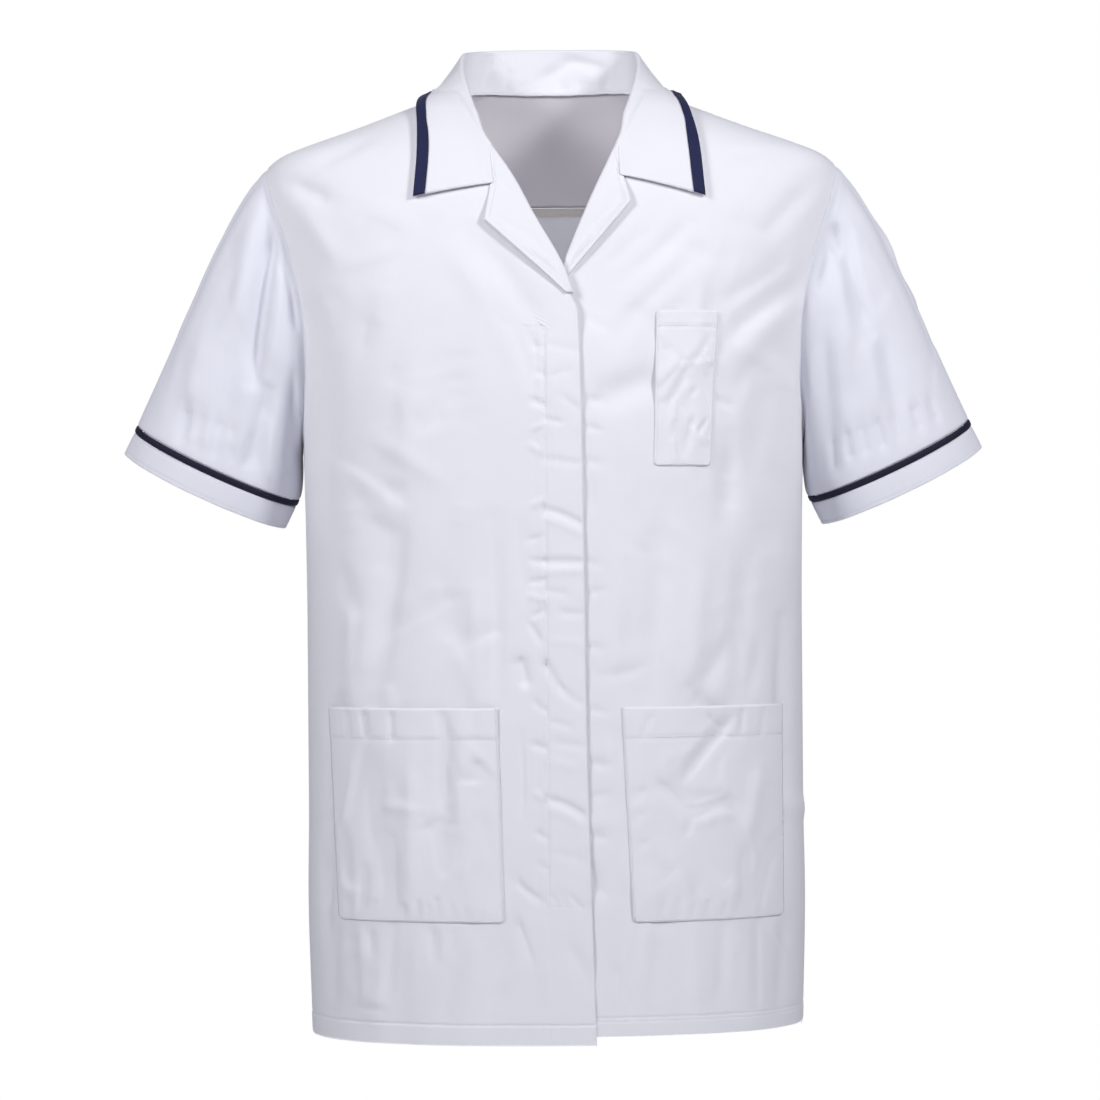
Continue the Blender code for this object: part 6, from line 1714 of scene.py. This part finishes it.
# ---------------------------------------------------------------- lapels
@dataclass
class Lapel:
    """A facing turned back round the edge of its front."""
    side: Side
    cloth: float = 0.0010
    per_span: int = 5
    across: int = 30
    rim_lift: float = 0.0026
    cuts: tuple = (Cut(0.060, 0.135, 0.0037), Cut(0.048, 0.122, 0.0029))
    # Columns: share across, share down, share across, share down (thousandths), then as a crease
    creases: tuple = (
        (250, 300, 800, 180, 60, -0.7, 0, 0, 0.2), (300, 620, 820, 420, 60, -0.6, 0, 0, 0.2),
        (350, 820, 700, 680, 50, 0.6, 0, 0, 0.2),
    )

    def rim(self, roll_x: np.ndarray, roll_z: np.ndarray, edge_table: tuple) -> np.ndarray:
        """Return x and z of the outer rim: collar seam, notch, corner, closing."""
        notch_x, notch_z, corner_x, corner_z = front_points(self.side)[:4]
        seam_x = float(smooth_lookup(edge_table, COLLAR_SEAM_END))
        top_z = roll_z[0] + RIM_TOP[1]
        down = (top_z - COLLAR_SEAM_END) / (notch_z - COLLAR_SEAM_END)
        top = (seam_x + (notch_x - seam_x) * down + RIM_TOP[0], top_z)
        notch = (notch_x + RIM_NOTCH[0], notch_z + RIM_NOTCH[1])
        close = (roll_x[-1] + RIM_CLOSE[0], roll_z[-1] + RIM_CLOSE[1])
        knots = np.array([top, notch, (corner_x, corner_z), close])
        spans = LAPEL_SPANS + 1 - len(RIM_PLACES)
        places = np.concatenate([RIM_PLACES, np.linspace(2.0, 3.0, spans)])
        place = np.interp(np.linspace(0.0, LAPEL_SPANS, len(roll_z)), np.arange(LAPEL_SPANS + 1), places)
        return np.stack([np.interp(place, np.arange(4), knots[:, k]) for k in range(2)], axis=1)

    def build(self, room: Workroom, panel: Face) -> Face:
        """Make the lapel lying on its front, with its edge stitching."""
        layer, table = ((Layer.OVER, OVER_EDGE) if self.side is Side.RIGHT else (Layer.UNDER, UNDER_EDGE))
        sign = self.side.value
        rows = LAPEL_SPANS * self.per_span + 1
        roll_z = np.linspace(COLLAR_SEAM_END - LAPEL_START, LAPEL_STOPS[sign], rows)
        roll_x = smooth_lookup(table, roll_z)
        rim = self.rim(roll_x, roll_z, table)

        def on_panel(x: np.ndarray, z: np.ndarray) -> tuple[np.ndarray, np.ndarray]:
            """Return the panel's point and normal at a place on this side."""
            return BodyForm.surface(BodyForm.theta_at(sign * x, z, -1), z, layer)

        edge_point, edge_normal = on_panel(roll_x, roll_z)
        run = unit(np.gradient(edge_point, axis=0))
        away = unit(np.cross(run, edge_normal)) * sign
        down = np.linspace(0.0, 1.0, rows)
        top = (1.0 - smooth_step(0.0, 0.20, down))[:, None]
        centre = edge_point - edge_normal * (0.5 * PACKED_CLOTH - 0.0002 * top) + away * 0.0009 * top
        radials = [math.cos(turn) * away + math.sin(turn) * edge_normal
                   for turn in np.radians(np.linspace(-90.0, 90.0, 13))]
        columns = [centre + ROLL_RADIUS * radial for radial in radials]
        rest = ROLL_RADIUS - 0.5 * PACKED_CLOTH
        notch_down = (roll_z[0] - front_points(self.side)[1]) / (roll_z[0] - roll_z[-1])
        loose = smooth_step(notch_down, notch_down + 0.16, down)
        for share in np.linspace(0.0, 1.0, self.across + 1)[1:]:
            x = roll_x + (rim[:, 0] - roll_x) * share
            z = roll_z + (rim[:, 1] - roll_z) * share
            point, normal = on_panel(x, z)
            bow = self.rim_lift * np.sin(math.pi * np.clip(down * 1.1 - 0.05, 0.0, 1.0))
            height = rest * (loose + (1.0 - loose) * (1.0 - 0.35 * share)) + (LAPEL_LIFT + bow) * share * share * loose
            columns.append(point + normal * height[:, None])
            radials.append(normal)
        points, normals = np.stack(columns, axis=1), np.stack(radials, axis=1)
        base = Face(points, facing(grid_normals(points), normals))
        across = np.clip((np.arange(points.shape[1]) - 12) / self.across, 0.0, 1.0)
        relief = total_relief(read_creases(self.creases), across[None, :], down[:, None])
        edge = run_length(points, 1)[:, -1:] - run_length(points, 1)
        relief = relief - 0.00012 * bump(edge - 0.0045, 0.0009) - 0.0002 * bump(edge, 0.0012)
        fresh = base.raised(relief)
        free = np.zeros(points.shape[:2], dtype=bool)
        free[:, 13:] = True
        face = settle(fresh, self.cloth, [panel.points], 0.0005, free)
        word = self.side.name.lower()
        room.sew(Cloth(f"lapel_{word}_cloth", face, self.cloth), BODY_WHITE,
                 self.cuts[self.side is Side.LEFT], f"lapel_{word}")
        lines = np.arange(2.0, rows - 2.0)
        path = face.line(lines, face.place(1, 0.0045, from_end=True)[2:-2], 0.0001)
        room.stitch(StitchRow(f"lapel_{word}_stitches", [path]))
        return face


# ---------------------------------------------------------------- pockets
@dataclass
class Pocket:
    """A patch pocket with a turned band at its mouth and rounded lower corners."""
    name: str
    top: tuple[float, float]
    bottom: tuple[float, float]
    heights: tuple[float, float]
    creases: tuple
    cut: Cut
    seed: int
    band: float = 0.0240
    mouth: float = 0.0016
    puff: float = 0.0008
    cloth: float = 0.0006
    corner: float = 0.004
    corner_start: float = 0.976
    columns: int = 66
    rows: int = 84
    edge_stitch: float = 0.0019

    def base_face(self, layer: Layer) -> tuple[Face, np.ndarray, np.ndarray]:
        """Return the pocket's plain face on its panel, with shares across and down."""
        share, fall = np.meshgrid(np.linspace(0.0, 1.0, self.columns), np.linspace(0.0, 1.0, self.rows))
        inner = self.top[0] + (self.bottom[0] - self.top[0]) * fall
        outer = self.top[1] + (self.bottom[1] - self.top[1]) * fall
        turn = np.clip((fall - self.corner_start) / (1.0 - self.corner_start), 0.0, 1.0)
        shrink = self.corner * (1.0 - np.sqrt(1.0 - 0.96 * turn ** 2)) * np.sign(outer - inner)
        z = self.heights[0] + (self.heights[1] - self.heights[0]) * fall
        start = BodyForm.theta_at(inner + shrink, z, -1)
        end = BodyForm.theta_at(outer - shrink, z, -1)
        points, normals = BodyForm.surface(start + (end - start) * share, z, layer)
        return Face(points, normals), share, fall

    def build(self, room: Workroom, panel: Face, layer: Layer) -> None:
        """Make the pocket lying on its front, with its band and edge stitching."""
        base, share, fall = self.base_face(layer)
        x, z = base.points[..., 0], base.points[..., 2]
        across, down = edge_distance(base.points, 1), run_length(base.points, 0)
        low = down[-1:] - down
        sewn = np.minimum(across, low)
        low_corner = (min(self.top + self.bottom), self.heights[1])
        high_corner = (max(self.top + self.bottom), self.heights[0] - self.band)
        small = Rumple(self.seed, 40, low_corner, high_corner, length=(0.012, 0.050),
                       width=(0.0025, 0.0070), height=0.0006).creases()
        relief = total_relief(read_creases(self.creases) + small, x, z)
        relief = relief * smooth_step(-0.002, 0.006, across)
        relief = relief + self.puff * smooth_step(0.0, 0.014, sewn)
        relief = relief + self.mouth * np.sin(math.pi * share) * (1.0 - fall) ** 4
        relief = relief + 0.00035 * smooth_step(0.0, 0.0012, self.band - down)
        relief = relief - 0.00055 * bump(down - self.band, 0.0011)
        relief = relief - 0.00030 * bump(sewn - self.edge_stitch, 0.0008)
        rise = np.maximum(relief, -0.0001) + 0.5 * SEAM_GAP + self.cloth
        face = settle(base.raised(rise), self.cloth, [panel.points], 0.00012)
        room.sew(Cloth(f"{self.name}_cloth", face, self.cloth), BODY_WHITE, self.cut,
                 self.name)
        self.stitch(room, face)

    def stitch(self, room: Workroom, face: Face) -> None:
        """Lay the stitching of the band and round the three sewn sides."""
        lift = 0.0001
        band = face.line(face.place(0, self.band), np.arange(self.columns, dtype=float), lift)[1:-1]
        rows = np.arange(0.5, self.rows - 2.0)
        near = np.interp(rows, np.arange(self.rows), face.place(1, self.edge_stitch))
        far = np.interp(rows, np.arange(self.rows), face.place(1, self.edge_stitch, from_end=True))
        low = face.place(0, self.edge_stitch, from_end=True)
        columns = np.arange(near[-1], far[-1])
        bottom = face.line(np.interp(columns, np.arange(self.columns), low), columns, lift)
        around = np.vstack([face.line(rows, near, lift), bottom, face.line(rows, far, lift)[::-1]])
        room.stitch(StitchRow(f"{self.name}_stitches", [band, around], seed=self.seed))


POCKETS = (
    (Pocket("pen_pocket", (0.0826, 0.1322), (0.0795, 0.1252), (-0.1880, -0.3120), PEN_CREASES,
            Cut(0.052, 0.126, 0.0062), seed=5, band=0.0125, columns=36, rows=70, mouth=0.0012, corner=0.004),
     Side.LEFT, Layer.UNDER),
    (Pocket("pocket_right", (-0.0457, -0.1824), (-0.0412, -0.1753), (-0.5030, -0.6735),
            POCKET_RIGHT_CREASES, Cut(0.155, 0.176, 0.0255), seed=6), Side.RIGHT, Layer.OVER),
    (Pocket("pocket_left", (0.0521, 0.1827), (0.0604, 0.1831), (-0.5030, -0.6740),
            POCKET_LEFT_CREASES, Cut(0.155, 0.176, 0.0240), seed=7), Side.LEFT, Layer.UNDER),
)


# ---------------------------------------------------------------- studio
@dataclass
class Studio:
    """A plain pale studio: floor, soft lights and the camera at the photograph's view."""
    camera_place: tuple[float, float, float] = (-0.0033, -3.2, -0.3780)
    lens: float = 126.9
    sensor: float = 36.0
    roll_degrees: float = 0.45
    floor_z: float = -1.45
    floor_size: float = 4.4
    surround: tuple[float, float, float] = (0.13, 0.13, 0.165)

    def build(self) -> None:
        """Make the floor, the world, the lights and the camera."""
        self.floor()
        self.world()
        self.light("key", (1.65, -1.65, 0.90), 0.5, 17.9, math.radians(130.0))
        self.light("fill", (-1.75, -1.55, 0.85), 0.7, 16.6, math.radians(130.0))
        self.light("front", (0.2, -2.5, 0.80), 0.5, 10.5, math.pi)
        self.light("low", (0.0, 0.0, -1.30), 0.4, 4.5, math.pi)
        self.camera()

    def floor(self) -> None:
        """Make the pale floor."""
        half = self.floor_size / 2.0
        mesh = bpy.data.meshes.new("floor")
        corners = [(-half, -half), (half, -half), (half, half), (-half, half)]
        mesh.from_pydata([(x, y, self.floor_z) for x, y in corners], [], [(0, 1, 2, 3)])
        item = bpy.data.objects.new("floor", mesh)
        bpy.context.scene.collection.objects.link(item)
        material = bpy.data.materials.new("floor")
        material.use_nodes = True
        shader = material.node_tree.nodes["Principled BSDF"]
        shader.inputs["Base Color"].default_value = (0.86, 0.86, 0.86, 1.0)
        shader.inputs["Roughness"].default_value = 0.9
        mesh.materials.append(material)

    def world(self) -> None:
        """Give the world a bright sky behind the part and a softer one around it."""
        world = bpy.data.worlds.new("studio")
        bpy.context.scene.world = world
        world.use_nodes = True
        nodes, links = world.node_tree.nodes, world.node_tree.links
        sky = nodes["Background"]
        way = nodes.new("ShaderNodeTexCoord")
        split = nodes.new("ShaderNodeSeparateXYZ")
        links.new(way.outputs["Generated"], split.inputs["Vector"])
        ramp = nodes.new("ShaderNodeValToRGB")
        ramp.color_ramp.interpolation = "EASE"
        low, high = ramp.color_ramp.elements
        low.position, high.position = 0.80, 0.96
        low.color, high.color = (*self.surround, 1.0), (1.0, 1.0, 1.0, 1.0)
        links.new(split.outputs["Y"], ramp.inputs["Fac"])
        links.new(ramp.outputs["Color"], sky.inputs["Color"])

    def light(self, name: str, place: tuple[float, float, float], size: float, power: float,
              spread: float) -> None:
        """Make one square soft light aimed at the part's chest."""
        data = bpy.data.lights.new(name, "AREA")
        data.size = size
        data.energy = power
        data.spread = spread
        item = bpy.data.objects.new(name, data)
        item.location = place
        item.rotation_euler = (Vector((0.0, 0.0, -0.22)) - item.location).to_track_quat("-Z", "Y").to_euler()
        bpy.context.scene.collection.objects.link(item)

    def camera(self) -> None:
        """Make the camera and the view's plain colours."""
        data = bpy.data.cameras.new("camera")
        data.lens = self.lens
        data.sensor_width = self.sensor
        item = bpy.data.objects.new("camera", data)
        item.location = self.camera_place
        item.rotation_euler = (math.pi / 2.0, math.radians(self.roll_degrees), 0.0)
        bpy.context.scene.collection.objects.link(item)
        bpy.context.scene.camera = item
        bpy.context.scene.view_settings.view_transform = "Standard"


def main() -> None:
    """Dress the tunic and set up the studio."""
    logging.basicConfig(level=logging.INFO, format="%(name)s: %(message)s", stream=sys.stdout)
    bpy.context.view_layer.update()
    room = Workroom()
    fronts = Fronts()
    fronts.build(room)
    back = BackPanels()
    back.build(room)
    for side, creases in ((Side.RIGHT, SLEEVE_RIGHT_CREASES), (Side.LEFT, SLEEVE_LEFT_CREASES)):
        Sleeve(side, creases).build(room)
    beneath = [fronts.faces[side].points[:100] for side in Side] + [back.yoke_face.points]
    Collar().build(room, beneath)
    for side in Side:
        Lapel(side).build(room, fronts.faces[side])
    for pocket, side, layer in POCKETS:
        pocket.build(room, fronts.faces[side], layer)
    Studio().build()


if __name__ == "__main__":
    main()
